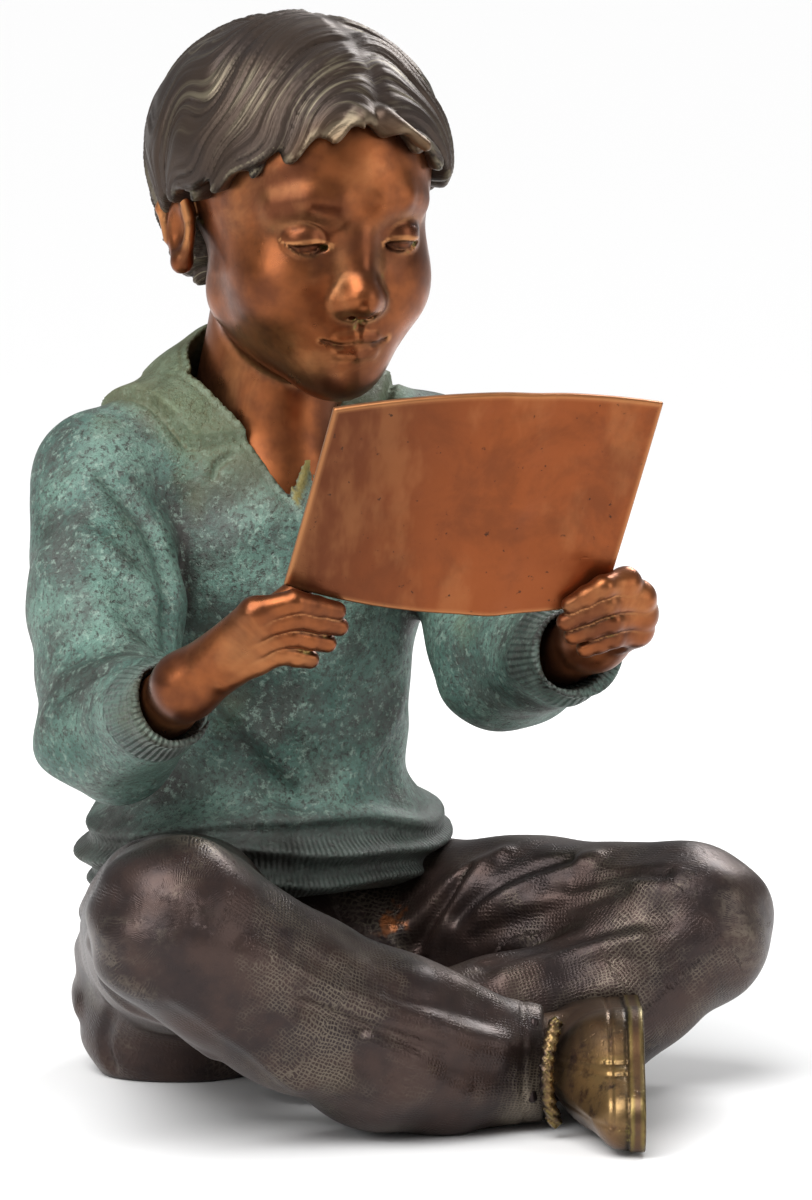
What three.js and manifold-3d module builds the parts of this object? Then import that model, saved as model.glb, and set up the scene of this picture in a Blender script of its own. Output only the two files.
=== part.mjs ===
// Seated boy reading a sheet: a bronze casting and the sheet of bronze in its hands.
// Millimetres, +Z up. The boy faces -Y and his left side is towards +X.
// The origin is under the middle of the whole piece, on the surface that it sits on.
import * as THREE from 'three';
import Module from 'manifold-3d';

const wasm = await Module();
wasm.setup();

// Driving dimensions
const HEIGHT = 632; // from the ground to the top of the hair
const SHEET_WIDTH = 188;
const SHEET_HEIGHT = 130;
const SHEET_THICKNESS = 4;
const SHEET_BOW = 6; // how far the curled sheet stands out along its middle
const EDGE_BULGE = 10; // how far the top and bottom edges of the sheet round out
const GRIP_CLEARANCE = 0.3; // between the sheet and the fingers that hold it

// The figure is drawn in units of one 632nd of its height and scaled to HEIGHT at the end
const FIGURE_UNITS = 632;
const SCALE = HEIGHT / FIGURE_UNITS;

// Pose, in degrees: a negative turn is towards his right
const CHEST_TURN = -13;
const HEAD_TURN = -8;
const HEAD_BOW = 10;
const BEST_SIDE = 32; // the figure is composed to be seen from this far round to his right

// Joints of the figure, in figure units from the pelvis axis on the ground
const HIP_RIGHT = [-66, -5, 80];
const HIP_LEFT = [67, 4, 72];
const KNEE_RIGHT = [-186, -203, 128];
const CALF_RIGHT = [[-115, -217, 78], [-68, -229, 56], [-31, -234, 44]];
const ANKLE_RIGHT = [26, -250, 34];
const THIGH_LEFT = [116, -100, 82];
const KNEE_LEFT = [164, -196, 93];
const CALF_LEFT = [112, -190, 54];
const ANKLE_LEFT = [0, -158, 36];
const SHOULDER_RIGHT = [-108, 18, 348];
const SHOULDER_LEFT = [108, -26, 346];
const ELBOW_RIGHT = [-158, -81, 223];
const ELBOW_LEFT = [80, -132, 251];
const CUFF_RIGHT = [-181, -192, 254];
const CUFF_LEFT = [45, -258, 273];
const NECK_BASE = [-6, 6, 366];
const HEAD_CENTRE = [0, -35, 516];
const SHEET_CENTRE = [-59, -311, 373];

// Widths of the clothes and limbs, in figure units
const THIGH_RADIUS = 62;
const KNEE_RADIUS = 50;
const HEM_RADIUS = 34;
const SHOULDER_RADIUS = 41;
const ELBOW_RADIUS = 41;
const CUFF_RADIUS = 26;
const WRIST_RADIUS = 17;
const FINGER_RADIUS = 6.2;
const SOLE_THICKNESS = 9.5;
const SOLE_FACE = 213; // how far across the best side the sole of the right shoe stands

const COLLAR_WIDTH = 27;
const COLLAR_RISE = 5.5;
const NECK_OVERLAP = 2; // how far the sweater's own core stays inside the neck
const RIBBING = 34; // length of the ribbed cuffs
const HEM_ACROSS = 157; // how far across the best side the right trouser hem is cut

// Hair
const PART_OFFSET = 15; // of the parting, towards his left
const LOCKS_PER_RADIAN = 3.6;
const LOCK_DEPTH = 4.2;

// Faceting: grid step of each region and the triangles that it keeps
const REGIONS = {
  head: { step: 3, triangles: 2300 },
  hair: { step: 3.6, triangles: 1900 },
  sweater: { step: 4.6, triangles: 2500 },
  trousers: { step: 4.6, triangles: 2150 },
  handRight: { step: 2.4, triangles: 560 },
  handLeft: { step: 2.4, triangles: 560 },
  shoeRight: { step: 3, triangles: 420 },
  shoeLeft: { step: 6, triangles: 100 },
};
const SHEET_CELL = 11.5;
const GROUND_REACH = 2000;

// Vector arithmetic
const plus = (a, b, t = 1) => [a[0] + b[0] * t, a[1] + b[1] * t, a[2] + b[2] * t];
const minus = (a, b) => plus(a, b, -1);
const times = (a, t) => [a[0] * t, a[1] * t, a[2] * t];
const dot = (a, b) => a[0] * b[0] + a[1] * b[1] + a[2] * b[2];
const unit = (a) => times(a, 1 / Math.hypot(a[0], a[1], a[2]));
const cross = (a, b) => [a[1] * b[2] - a[2] * b[1], a[2] * b[0] - a[0] * b[2], a[0] * b[1] - a[1] * b[0]];
const mix = (a, b, t) => plus(times(a, 1 - t), b, t);
const clamp = (v, low = 0, high = 1) => Math.min(high, Math.max(low, v));
const radians = (degrees) => (degrees * Math.PI) / 180;
const ramp = (v, from, to) => {
  const t = clamp((v - from) / (to - from));
  return t * t * (3 - 2 * t);
};

// A frame has an origin and unit axes to the left, to the back and up
function turnedFrame(origin, turn, bow = 0) {
  const ahead = [Math.sin(radians(turn)), -Math.cos(radians(turn)), 0];
  const lean = radians(bow);
  const up = plus([0, 0, Math.cos(lean)], ahead, Math.sin(lean));
  const back = plus(times(ahead, -Math.cos(lean)), [0, 0, Math.sin(lean)]);
  return { origin, left: cross(back, up), back, up };
}
const outOfFrame = (frame, p) =>
  plus(plus(plus(frame.origin, frame.left, p[0]), frame.back, p[1]), frame.up, p[2]);

const headFrame = turnedFrame(HEAD_CENTRE, HEAD_TURN, HEAD_BOW);
const chestFrame = turnedFrame([-4, -4, 280], CHEST_TURN);
const collarFrame = turnedFrame([-8, 2, 392], CHEST_TURN, 28);
const sideFrame = turnedFrame([0, 0, 0], -BEST_SIDE);

// A point across the best side, nearer to the viewer, and above the ground
const seen = (across, near, height) => outOfFrame(sideFrame, [across, -near, height]);

// Solids as distance fields: functions of a point, negative inside
const ball = (c, r) => (x, y, z) => Math.hypot(x - c[0], y - c[1], z - c[2]) - r;

function egg(c, radii, frame = turnedFrame([0, 0, 0], 0)) {
  const { left, back, up } = frame;
  return (x, y, z) => {
    const p = [x - c[0], y - c[1], z - c[2]];
    const a = dot(p, left) / radii[0];
    const b = dot(p, back) / radii[1];
    const h = dot(p, up) / radii[2];
    const scaled = Math.hypot(a, b, h);
    const slope = Math.hypot(a / radii[0], b / radii[1], h / radii[2]);
    return slope < 1e-9 ? -Math.min(...radii) : (scaled * (scaled - 1)) / slope;
  };
}

// A limb is a cone with a ball at each end
function limb(a, b, ra, rb = ra) {
  const axis = minus(b, a);
  const l2 = dot(axis, axis);
  const taper = ra - rb;
  const a2 = l2 - taper * taper;
  return (x, y, z) => {
    const px = x - a[0];
    const py = y - a[1];
    const pz = z - a[2];
    const along = px * axis[0] + py * axis[1] + pz * axis[2];
    const beyond = along - l2;
    const qx = px * l2 - axis[0] * along;
    const qy = py * l2 - axis[1] * along;
    const qz = pz * l2 - axis[2] * along;
    const x2 = qx * qx + qy * qy + qz * qz;
    const y2 = along * along * l2;
    const z2 = beyond * beyond * l2;
    const k = Math.sign(taper) * taper * taper * x2;
    if (Math.sign(beyond) * a2 * z2 > k) return Math.sqrt(x2 + z2) / l2 - rb;
    if (Math.sign(along) * a2 * y2 < k) return Math.sqrt(x2 + y2) / l2 - ra;
    return (Math.sqrt((x2 * a2) / l2) + along * taper) / l2 - ra;
  };
}

function softMin(a, b, k) {
  const h = Math.max(k - Math.abs(a - b), 0) / k;
  return Math.min(a, b) - h * h * k * 0.25;
}
const softMax = (a, b, k) => -softMin(-a, -b, k);

// Joined fields flow into each other over a width of about k
const joined = (k, ...fields) => (x, y, z) => {
  let d = fields[0](x, y, z);
  for (let i = 1; i < fields.length; i += 1) d = softMin(d, fields[i](x, y, z), k);
  return d;
};
const carved = (k, field, tool) => (x, y, z) => softMax(field(x, y, z), -tool(x, y, z), k);
const kept = (k, field, region) => (x, y, z) => softMax(field(x, y, z), region(x, y, z), k);
const chain = (points, radii, k = 3) =>
  joined(k, ...points.slice(1).map((p, i) => limb(points[i], p, radii[i], radii[i + 1])));
const mirrored = (field) => (x, y, z) => field(Math.abs(x), y, z);
const inFrame = (frame, field) => (x, y, z) => {
  const p = minus([x, y, z], frame.origin);
  return field(dot(p, frame.left), dot(p, frame.back), dot(p, frame.up));
};

// A smooth curve through a few points, as short straight steps
function curveThrough(points, steps = 10) {
  const curve = new THREE.CatmullRomCurve3(points.map((p) => new THREE.Vector3(...p)));
  return curve.getPoints(steps).map((p) => [p.x, p.y, p.z]);
}

// A place moved along the field's slope onto its surface
function onto(field, place) {
  let p = place;
  for (let i = 0; i < 4; i += 1) {
    const d = field(...p);
    const slope = [[1, 0, 0], [0, 1, 0], [0, 0, 1]].map((step) => field(...plus(p, step)) - d);
    p = plus(p, slope, -d / Math.max(dot(slope, slope), 0.1));
  }
  return p;
}

// Strokes raise a fold (rise above 0) or press a crease (rise below 0) along a curve
function modelled(field, strokes) {
  const runs = strokes.map(([width, rise, ...path]) => {
    const points = curveThrough(path, 2 * path.length).map((p) => onto(field, p));
    return { width, rise, steps: points.slice(1).map((p, i) => limb(points[i], p, 0)) };
  });
  return (x, y, z) => {
    let d = field(x, y, z);
    if (Math.abs(d) > 16) return d;
    for (const { width, rise, steps } of runs) {
      if (steps[0](x, y, z) < 120) {
        let nearest = Infinity;
        for (const step of steps) nearest = Math.min(nearest, step(x, y, z));
        d -= rise * Math.exp(-((nearest / width) ** 2));
      }
    }
    return d;
  };
}

// The sheet's own frame: along its width, along its height, and out of its front face
const sheetAcross = unit([176.5, -51, -10]);
const sheetUp = unit([6.5, -51, 119]);
const sheetOut = unit(cross(sheetAcross, sheetUp));
const halfWidth = SHEET_WIDTH / 2 / SCALE;
const halfHeight = SHEET_HEIGHT / 2 / SCALE;
const halfSheet = SHEET_THICKNESS / 2 / SCALE;

// How far the curled sheet stands out at a place across and up it
function sheetStand(across, up) {
  const a = across / halfWidth;
  const b = up / halfHeight;
  const curl = 1 - a * a;
  const crease = Math.exp(-(((across - halfWidth * (0.24 - 0.04 * b)) / (halfWidth * 0.13)) ** 2));
  return (SHEET_BOW / SCALE) * (0.75 * curl + 0.3 * crease * (1 - 0.3 * b) - 0.12 * b * b);
}
const onSheet = (across, up, out = 0) => {
  const flat = plus(plus(SHEET_CENTRE, sheetAcross, across), sheetUp, up);
  return plus(flat, sheetOut, sheetStand(across, up) + out);
};

// Head, in its own frame: x to his left, y to the back, z up, from the middle of the head
function faceField() {
  const skull = egg([0, 12, 24], [70, 86, 74]);
  const forehead = egg([0, -32, 27], [57, 47, 50]);
  const face = egg([0, -24, -28], [58, 60, 70]);
  const cheek = mirrored(ball([27, -51, -37], 29.5));
  const jaw = mirrored(limb([39, -6, -54], [13, -56, -80], 17, 15));
  const muzzle = egg([0, -64, -60], [27, 23, 23]);
  const chin = ball([0, -68, -84], 16);
  const mass = joined(22, skull, forehead, face, cheek, jaw, muzzle, chin);
  const socket = mirrored(egg([29, -95, -3], [19, 15, 12]));
  const brow = mirrored(chain([[14, -77, 18], [28, -75, 20], [44, -62, 13]], [4, 4.6, 3.4]));
  const eye = mirrored(ball([29, -66.5, -4], 13.6));
  const bridge = limb([0, -79, -2], [0, -90, -32], 6, 8.2);
  const noseTip = ball([0, -93, -35], 8.6);
  const wing = mirrored(egg([10, -86, -38.5], [6.3, 8, 6]));
  const upperLip = mirrored(limb([2.5, -86.5, -58.5], [22, -77.5, -60.5], 4.8, 2));
  const lowerLip = mirrored(limb([0, -85, -67.5], [19.5, -77.5, -62.6], 5.8, 2.2));
  const browed = joined(15, carved(11, mass, socket), brow);
  const nosed = joined(6, joined(9, browed, bridge, noseTip), wing);
  const lipped = joined(3, nosed, eye, upperLip, lowerLip);
  const mouth = mirrored(limb([0, -93, -63], [22, -82, -60.6], 1.2, 0.8));
  const nostril = mirrored(ball([5.4, -91.5, -44.8], 2.8));
  return carved(2.5, carved(2.5, lipped, mouth), nostril);
}

function earField() {
  const shell = egg([71, 14, -16], [7, 15, 25], turnedFrame([0, 0, 0], 0, -8));
  const bowl = egg([79, 8, -17], [7, 7.5, 12]);
  const rimPath = [[72, 1, -8], [75, 5, 4], [77, 14, 10], [79, 24, 4], [79, 27, -9], [76, 21, -26]];
  const rim = chain(rimPath, rimPath.map(() => 3), 4);
  const lobe = ball([72, 7, -37], 6.5);
  return mirrored(joined(4, carved(4, joined(5, shell, lobe), bowl), rim));
}

// Neck and the chest's skin inside the sweater's V
function neckField() {
  const neckTop = outOfFrame(headFrame, [0, 17, -58]);
  const chest = egg([-4, -6, 300], [86, 62, 84], chestFrame);
  const throat = limb(neckTop, outOfFrame(chestFrame, [0, -26, 70]), 30, 24);
  const neck = joined(20, limb(neckTop, NECK_BASE, 41, 45), throat);
  return joined(16, neck, (x, y, z) => Math.max(chest(x, y, z), 330 - z));
}

const headField = () => joined(10, inFrame(headFrame, joined(4, faceField(), earField())), neckField());

// Height of the hair's lower edge round the head: angle from the front, and height
const HAIR_EDGE = [[0, 60], [22, 50], [45, 31], [68, 12], [90, 4], [108, -26], [128, -60], [180, -68]];
function hairEdge(angle) {
  const last = HAIR_EDGE.findIndex(([at]) => at >= angle);
  const [from, low] = HAIR_EDGE[Math.max(last - 1, 0)];
  const [to, high] = HAIR_EDGE[Math.max(last, 1)];
  return low + (high - low) * ramp(angle, from, to);
}

// Locks are ridges with sharp valleys; each runs from the parting down to the edge
function lockRelief(x, y, z) {
  const side = x < PART_OFFSET ? 0.37 : 0;
  const out = Math.abs(x - PART_OFFSET * ramp(z, 0, 60)) / 86;
  const round = Math.atan2(z + 30, 15 - y);
  const sweep = round + 0.55 * Math.cos(round) * out ** 1.5;
  const fall = Math.atan2(x, y - 25) / 1.7;
  const valley = (s) => Math.abs(Math.sin(Math.PI * (LOCKS_PER_RADIAN * s + side))) ** 0.6;
  const wave = 0.07 * Math.sin(out * 4.2 + sweep * 3);
  const behind = ramp(y, 25, 62) * ramp(-Math.hypot(x, y - 25), -70, -8);
  const strength = ramp(out, 0, 0.12);
  const front = valley(sweep + wave) * strength + 0.6 * (1 - strength);
  return LOCK_DEPTH * (front * (1 - behind) + valley(fall + wave) * behind - 0.6);
}

function hairField() {
  const cap = egg([0, 13, 24], [86.5, 101, 82]);
  const nape = egg([0, 42, -20], [65, 62, 58]);
  const mass = joined(16, cap, nape);
  const tuft = mirrored(limb([6, -72, 66], [30, -80, 52], 8, 4));
  const parting = chain([[15, -84, 62], [17, -66, 88], [17, -30, 107], [10, 4, 112]], [2.5, 3, 3, 1.5]);
  return (x, y, z) => {
    const angle = (Math.atan2(Math.abs(x), 10 - y) * 180) / Math.PI;
    const strands = 3 * Math.sin(angle * 0.42 + (x > 0 ? 1 : 0));
    let d = mass(x, y, z);
    if (Math.abs(d) < 14) d -= lockRelief(x, y, z);
    d = softMax(d, -parting(x, y, z), 5);
    d = softMin(d, tuft(x - 8, y, z), 5);
    return softMax(d, hairEdge(angle) + strands - z, 7);
  };
}

// Knitted sweater: torso, sleeves with ribbed cuffs, turned-down collar and gathered hem
function sleeve(shoulder, elbow, cuff) {
  const rimAxis = unit(minus(cuff, elbow));
  const rib = plus(cuff, rimAxis, -RIBBING);
  const middle = mix(shoulder, elbow, 0.5);
  const upper = chain([shoulder, middle, elbow], [SHOULDER_RADIUS, SHOULDER_RADIUS + 3, ELBOW_RADIUS], 8);
  const lower = limb(elbow, rib, ELBOW_RADIUS - 2, CUFF_RADIUS + 4);
  const ribbed = limb(rib, cuff, CUFF_RADIUS + 1, CUFF_RADIUS);
  const pastCuff = (x, y, z) => dot(minus([x, y, z], cuff), rimAxis);
  return kept(3, joined(7, joined(16, upper, lower), ribbed), pastCuff);
}

// Flat distance to the edge of the neck opening, a round with a V in front
function neckHole(x, y) {
  const wedge = 0.868 * Math.abs(x) - 0.496 * (y + 84);
  return softMin(Math.hypot(x, y - 6) - 45, Math.max(wedge, y), 6);
}

// Folds of the sweater: width, rise and the places that the stroke passes
const SWEATER_FOLDS = [
  [5, -7, [-128, -24, 362], [-115, -46, 336], [-114, -62, 308], [-125, -90, 270]],
  [5, -4, [-195, -91, 247], [-187, -120, 262], [-181, -165, 276]],
  [7, 3.5, [-154, -30, 336], [-143, -60, 314], [-128, -76, 296]],
  [7, -3.5, [-56, -49, 210], [-45, -60, 185], [-25, -72, 162]],
  [8, 3.5, [-80, -30, 250], [-62, -58, 215], [-30, -74, 185]],
  [7, -3.5, [92, -62, 292], [84, -60, 250], [70, -58, 215]],
  [6, -4, [118, -66, 322], [112, -92, 300], [96, -116, 282]],
  [6, -4, [96, -168, 236], [84, -150, 276], [64, -170, 292]],
  [9, 3.5, [-60, 66, 330], [-20, 74, 290], [30, 72, 262]],
  [8, -3.5, [60, 62, 320], [20, 72, 270], [-30, 76, 230]],
  [9, 3.5, [-90, 50, 250], [-40, 74, 205], [20, 78, 180]],
];
const HEM_ROLLS = [[153, 4.5], [136, 7], [118, 6]];

function sweaterField() {
  const hips = egg([-6, 2, 134], [110, 86, 54]);
  const trunk = egg([-2, -2, 232], [84, 70, 132], chestFrame);
  const chest = egg([-4, -6, 300], [91, 70, 84], chestFrame);
  const shoulders = limb(mix(SHOULDER_RIGHT, NECK_BASE, 0.2), mix(SHOULDER_LEFT, NECK_BASE, 0.2), 40);
  const top = plus(NECK_BASE, [0, 14, 20]);
  const yoke = joined(
    20,
    limb(top, plus(SHOULDER_RIGHT, [18, 6, 14]), 47, 30),
    limb(top, plus(SHOULDER_LEFT, [-18, 6, 14]), 47, 30),
  );
  const body = joined(22, joined(26, hips, trunk, chest), shoulders, yoke);
  const arms = joined(
    9,
    sleeve(SHOULDER_RIGHT, ELBOW_RIGHT, CUFF_RIGHT),
    sleeve(SHOULDER_LEFT, ELBOW_LEFT, CUFF_LEFT),
  );
  const folded = modelled(joined(10, body, arms), SWEATER_FOLDS);
  const hemmed = (x, y, z) => {
    let d = folded(x, y, z);
    const turn = Math.atan2(x, -y);
    const low = z - 4.2 * Math.cos(turn * 2 + 1) - 2 * Math.sin(turn * 5);
    if (z < 175 && Math.abs(d) < 20) {
      for (const [height, rise] of HEM_ROLLS) {
        d -= rise * Math.exp(-(((low - height - 3 * Math.sin(turn * 3 + height)) / 5.5) ** 2));
      }
    }
    return softMax(d, 106 + 4 * Math.cos(turn * 2) - z, 6);
  };
  const neck = neckField();
  const core = (x, y, z, d) => softMin(d, neck(x, y, z) + NECK_OVERLAP, 6);
  return (x, y, z) => {
    const d = hemmed(x, y, z);
    if (z < 340 || Math.abs(d) > 40) return core(x, y, z, d);
    const p = minus([x, y, z], collarFrame.origin);
    const [u, v, w] = [dot(p, collarFrame.left), dot(p, collarFrame.back), dot(p, collarFrame.up)];
    const hole = neckHole(u, v);
    const flap = w > -60 ? COLLAR_RISE * ramp(COLLAR_WIDTH - hole, 0, 4) * ramp(v, -49, -42) : 0;
    const depth = 12 + 10 * ramp(-v, 0, 25);
    return core(x, y, z, softMax(d - flap, -Math.max(hole, -w - depth), 2));
  };
}

// Folds of the trousers: width, rise and the places that the stroke passes
const TROUSER_FOLDS = [
  [7, 6.5, [-169, -256, 119], [-123, -268, 94], [-82, -278, 76], [-20, -280, 54]],
  [6, 4, [-102, -276, 66], [-78, -281, 50], [-46, -277, 31]],
  [6, -3.5, [-140, -262, 88], [-100, -272, 72], [-60, -280, 58]],
  [7, 3.5, [-206, -238, 97], [-180, -240, 75], [-133, -246, 39]],
  [6, -5, [-216, -150, 108], [-196, -130, 84], [-176, -150, 52]],
  [7, 4, [-222, -160, 86], [-204, -170, 60], [-178, -196, 36]],
  [6, 5, [54, -92, 73], [60, -100, 94], [81, -106, 121]],
  [6, 4, [43, -76, 85], [62, -90, 108], [93, -109, 129]],
  [5, -4, [64, -106, 94], [92, -133, 121], [112, -150, 131]],
  [6, -3.5, [68, -119, 84], [92, -159, 104], [120, -196, 119]],
  [8, 4.5, [40, -192, 76], [72, -200, 84], [112, -222, 97]],
  [7, -3.5, [37, -176, 82], [80, -188, 90], [124, -226, 105]],
  [8, 3.5, [-130, 20, 96], [-128, -50, 116], [-150, -110, 138]],
  [8, 3.5, [110, 30, 92], [126, -40, 108], [150, -110, 118]],
  [7, 3.5, [-60, 84, 70], [-100, 56, 50], [-124, 20, 40]],
];

// Trousers: seat, thighs and crossed shins, the right one cut at its hem
function trousersField() {
  const seat = egg([-2, 6, 56], [108, 92, 68]);
  const buttockRight = limb([-68, 2, 36], [-64, 2, 66], 58);
  const thighRight = limb(HIP_RIGHT, KNEE_RIGHT, THIGH_RADIUS, KNEE_RADIUS);
  const thighRadii = [THIGH_RADIUS - 5, KNEE_RADIUS + 1, KNEE_RADIUS - 1];
  const thighLeft = chain([HIP_LEFT, THIGH_LEFT, KNEE_LEFT], thighRadii, 20);
  const shinRight = chain(
    [KNEE_RIGHT, ...CALF_RIGHT, ANKLE_RIGHT],
    [KNEE_RADIUS, KNEE_RADIUS - 2, KNEE_RADIUS, KNEE_RADIUS - 7, HEM_RADIUS],
    12,
  );
  const shinLeft = chain([KNEE_LEFT, CALF_LEFT, ANKLE_LEFT], [KNEE_RADIUS - 1, KNEE_RADIUS - 9, 37], 12);
  const legs = joined(7, joined(14, seat, buttockRight, thighRight, thighLeft), shinRight, shinLeft);
  const folded = modelled(legs, TROUSER_FOLDS);
  const hem = seen(HEM_ACROSS, 0, 0);
  return (x, y, z) => {
    const d = folded(x, y, z);
    const ofShin = shinRight(x, y, z) < d + 9 && dot([x, y, z], sideFrame.back) < -168;
    return ofShin ? softMax(d, dot(minus([x, y, z], hem), sideFrame.left), 3) : d;
  };
}

// Shoe lying on its side: an upper and a flat sole, in a frame with x out of the sole
function shoeField(frame, heel, tread, toe) {
  const places = [heel, tread, toe];
  const plan = chain(places.map(([y, z]) => [0, y, z]), places.map((p) => p[2] + 1), 12);
  // How far the upper stands from the sole: low at the toe, high at the ankle
  const top = (y) => 20 + 20 * ramp(y, -305, -225) + 15 * ramp(y, -235, -140);
  return inFrame(frame, (x, y, z) => {
    const flat = plan(0, y, z);
    const sole = softMax(flat, Math.max(x, -SOLE_THICKNESS - x), 1.5);
    const depth = Math.max(-x - SOLE_THICKNESS, 0);
    const foot = softMax(0.8 * (flat + 1 + 22 * (depth / top(y)) ** 3), x + SOLE_THICKNESS - 2, 2);
    return softMin(foot, sole, 1.5);
  });
}

// A hand that holds the sheet's edge: fingers on the front face, thumb on the back
function handField(side, wrist, cuff, elbow, knuckles, bends, tips, thumb) {
  const reach = halfSheet + FINGER_RADIUS - 0.6;
  const at = ([across, up, out]) => onSheet(side * (halfWidth + across), up - halfHeight, reach + out);
  const palm = joined(9, ...knuckles.map((k) => limb(wrist, at(k), WRIST_RADIUS - 3, 8.5)));
  const fingers = knuckles.map((k, i) =>
    chain([at(k), at(bends[i]), at(tips[i])], [8, FINGER_RADIUS + 0.4, FINGER_RADIUS - 0.6], 2),
  );
  const under = ([across, up, out]) => onSheet(side * (halfWidth + across), up - halfHeight, out - reach);
  const thumbBone = chain([wrist, under(thumb[0]), under(thumb[1])], [WRIST_RADIUS - 3, 9, 7], 4);
  const forearm = limb(wrist, mix(cuff, elbow, 0.16), WRIST_RADIUS, WRIST_RADIUS + 2);
  return joined(5, joined(9, palm, thumbBone, forearm), joined(1.5, ...fingers));
}

// Marching tetrahedra: the surface of a field as a closed mesh, always two faces to an edge
const CUBE_PATHS = [[1, 3], [1, 5], [2, 3], [2, 6], [4, 5], [4, 6]];
const EVEN = [[0, 1, 2, 3], [1, 0, 3, 2], [2, 3, 0, 1], [3, 2, 1, 0]];
const PAIRS = {
  3: [0, 1, 2, 3],
  5: [0, 2, 3, 1],
  6: [1, 2, 0, 3],
  9: [0, 3, 1, 2],
  10: [1, 3, 2, 0],
  12: [2, 3, 0, 1],
};

function surfaceOf(field, low, high, step) {
  const count = [0, 1, 2].map((i) => Math.ceil((high[i] - low[i]) / step) + 1);
  const [nx, ny, nz] = count;
  const stride = [1, nx, nx * ny];
  const values = new Float64Array(nx * ny * nz);
  let n = 0;
  for (let k = 0; k < nz; k += 1) {
    for (let j = 0; j < ny; j += 1) {
      for (let i = 0; i < nx; i += 1) {
        const rim = i * j * k === 0 || i === nx - 1 || j === ny - 1 || k === nz - 1;
        const value = field(low[0] + i * step, low[1] + j * step, low[2] + k * step);
        values[n] = rim ? Math.max(value, step / 2) : value || 1e-6;
        n += 1;
      }
    }
  }
  const offset = (corner) => (corner & 1) + ((corner >> 1) & 1) * stride[1] + (corner >> 2) * stride[2];
  const positions = [];
  const triangles = [];
  const known = new Map();
  const place = (index) => {
    const k = Math.floor(index / stride[2]);
    const j = Math.floor((index - k * stride[2]) / nx);
    const i = index - k * stride[2] - j * nx;
    return [low[0] + i * step, low[1] + j * step, low[2] + k * step];
  };
  const crossing = (a, b) => {
    const [p, q] = a < b ? [a, b] : [b, a];
    const key = p * values.length + q;
    let vertex = known.get(key);
    if (vertex === undefined) {
      const t = values[p] / (values[p] - values[q]);
      vertex = positions.length;
      positions.push(mix(place(p), place(q), clamp(t, 0.02, 0.98)));
      known.set(key, vertex);
    }
    return vertex;
  };
  const flipped = [false, true, true, false, false, true];
  const tetrahedra = CUBE_PATHS.map(([a, b], i) => ({ at: [0, a, b, 7].map(offset), flip: flipped[i] }));
  const emit = (a, b, c, flip) => triangles.push(flip ? [a, c, b] : [a, b, c]);
  for (let k = 0; k < nz - 1; k += 1) {
    for (let j = 0; j < ny - 1; j += 1) {
      for (let i = 0; i < nx - 1; i += 1) {
        const base = i + j * stride[1] + k * stride[2];
        for (const { at, flip } of tetrahedra) {
          const v = at.map((o) => base + o);
          const inside = v.reduce((bits, index, bit) => bits | (values[index] < 0 ? 1 << bit : 0), 0);
          const total = [0, 1, 1, 2, 1, 2, 2, 3, 1, 2, 2, 3, 2, 3, 3, 4][inside];
          if (total === 1 || total === 3) {
            const odd = Math.log2(total === 1 ? inside : 15 - inside);
            const [a, b, c, d] = EVEN[odd].map((o) => v[o]);
            emit(crossing(a, b), crossing(a, c), crossing(a, d), flip !== (total === 3));
          } else if (total === 2) {
            const [a, b, c, d] = PAIRS[inside].map((o) => v[o]);
            const [p, q] = [crossing(a, c), crossing(a, d)];
            const [r, s] = [crossing(b, d), crossing(b, c)];
            emit(p, q, r, flip);
            emit(p, r, s, flip);
          }
        }
      }
    }
  }
  return { positions, triangles };
}

// Edge collapse by least squared distance to the planes that met at each vertex
const QUADRIC = (4 * 5) / 2; // the terms of a symmetric matrix of four by four
const PASSES = 4;

function addPlane(quadrics, vertex, normal, offset, weight) {
  const [a, b, c] = normal;
  const plane = [a, b, c, offset];
  const terms = plane.flatMap((p, i) => plane.slice(i).map((q) => p * q));
  terms.forEach((term, i) => {
    quadrics[vertex * QUADRIC + i] += term * weight;
  });
}

const quadricError = (q, [x, y, z]) =>
  q[0] * x * x + 2 * q[1] * x * y + 2 * q[2] * x * z + 2 * q[3] * x + q[4] * y * y +
  2 * q[5] * y * z + 2 * q[6] * y + q[7] * z * z + 2 * q[8] * z + q[9];

// The point of least error, or the middle of the edge where the planes are nearly parallel
function bestPoint(q, p, r) {
  const middle = mix(p, r, 0.5);
  const rows = [[q[0], q[1], q[2]], [q[1], q[4], q[5]], [q[2], q[5], q[7]]];
  const right = [-q[3], -q[6], -q[8]];
  const det = dot(rows[0], cross(rows[1], rows[2]));
  const size = q[0] + q[4] + q[7];
  if (Math.abs(det) < 1e-4 * size ** 3) return middle;
  const [first, second, third] = [cross(rows[1], rows[2]), cross(rows[2], rows[0]), cross(rows[0], rows[1])];
  const solved = times(plus(plus(times(first, right[0]), second, right[1]), third, right[2]), 1 / det);
  const span = Math.hypot(...minus(p, r));
  return Math.hypot(...minus(solved, middle)) > span ? middle : solved;
}

class Heap {
  items = [];

  push(item) {
    const { items } = this;
    items.push(item);
    let i = items.length - 1;
    while (i > 0) {
      const parent = (i - 1) >> 1;
      if (items[parent].cost <= item.cost) break;
      items[i] = items[parent];
      i = parent;
    }
    items[i] = item;
  }

  pop() {
    const { items } = this;
    const top = items[0];
    const item = items.pop();
    if (items.length === 0) return top;
    let i = 0;
    for (;;) {
      let child = 2 * i + 1;
      if (child >= items.length) break;
      if (child + 1 < items.length && items[child + 1].cost < items[child].cost) child += 1;
      if (items[child].cost >= item.cost) break;
      items[i] = items[child];
      i = child;
    }
    items[i] = item;
    return top;
  }
}

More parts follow.
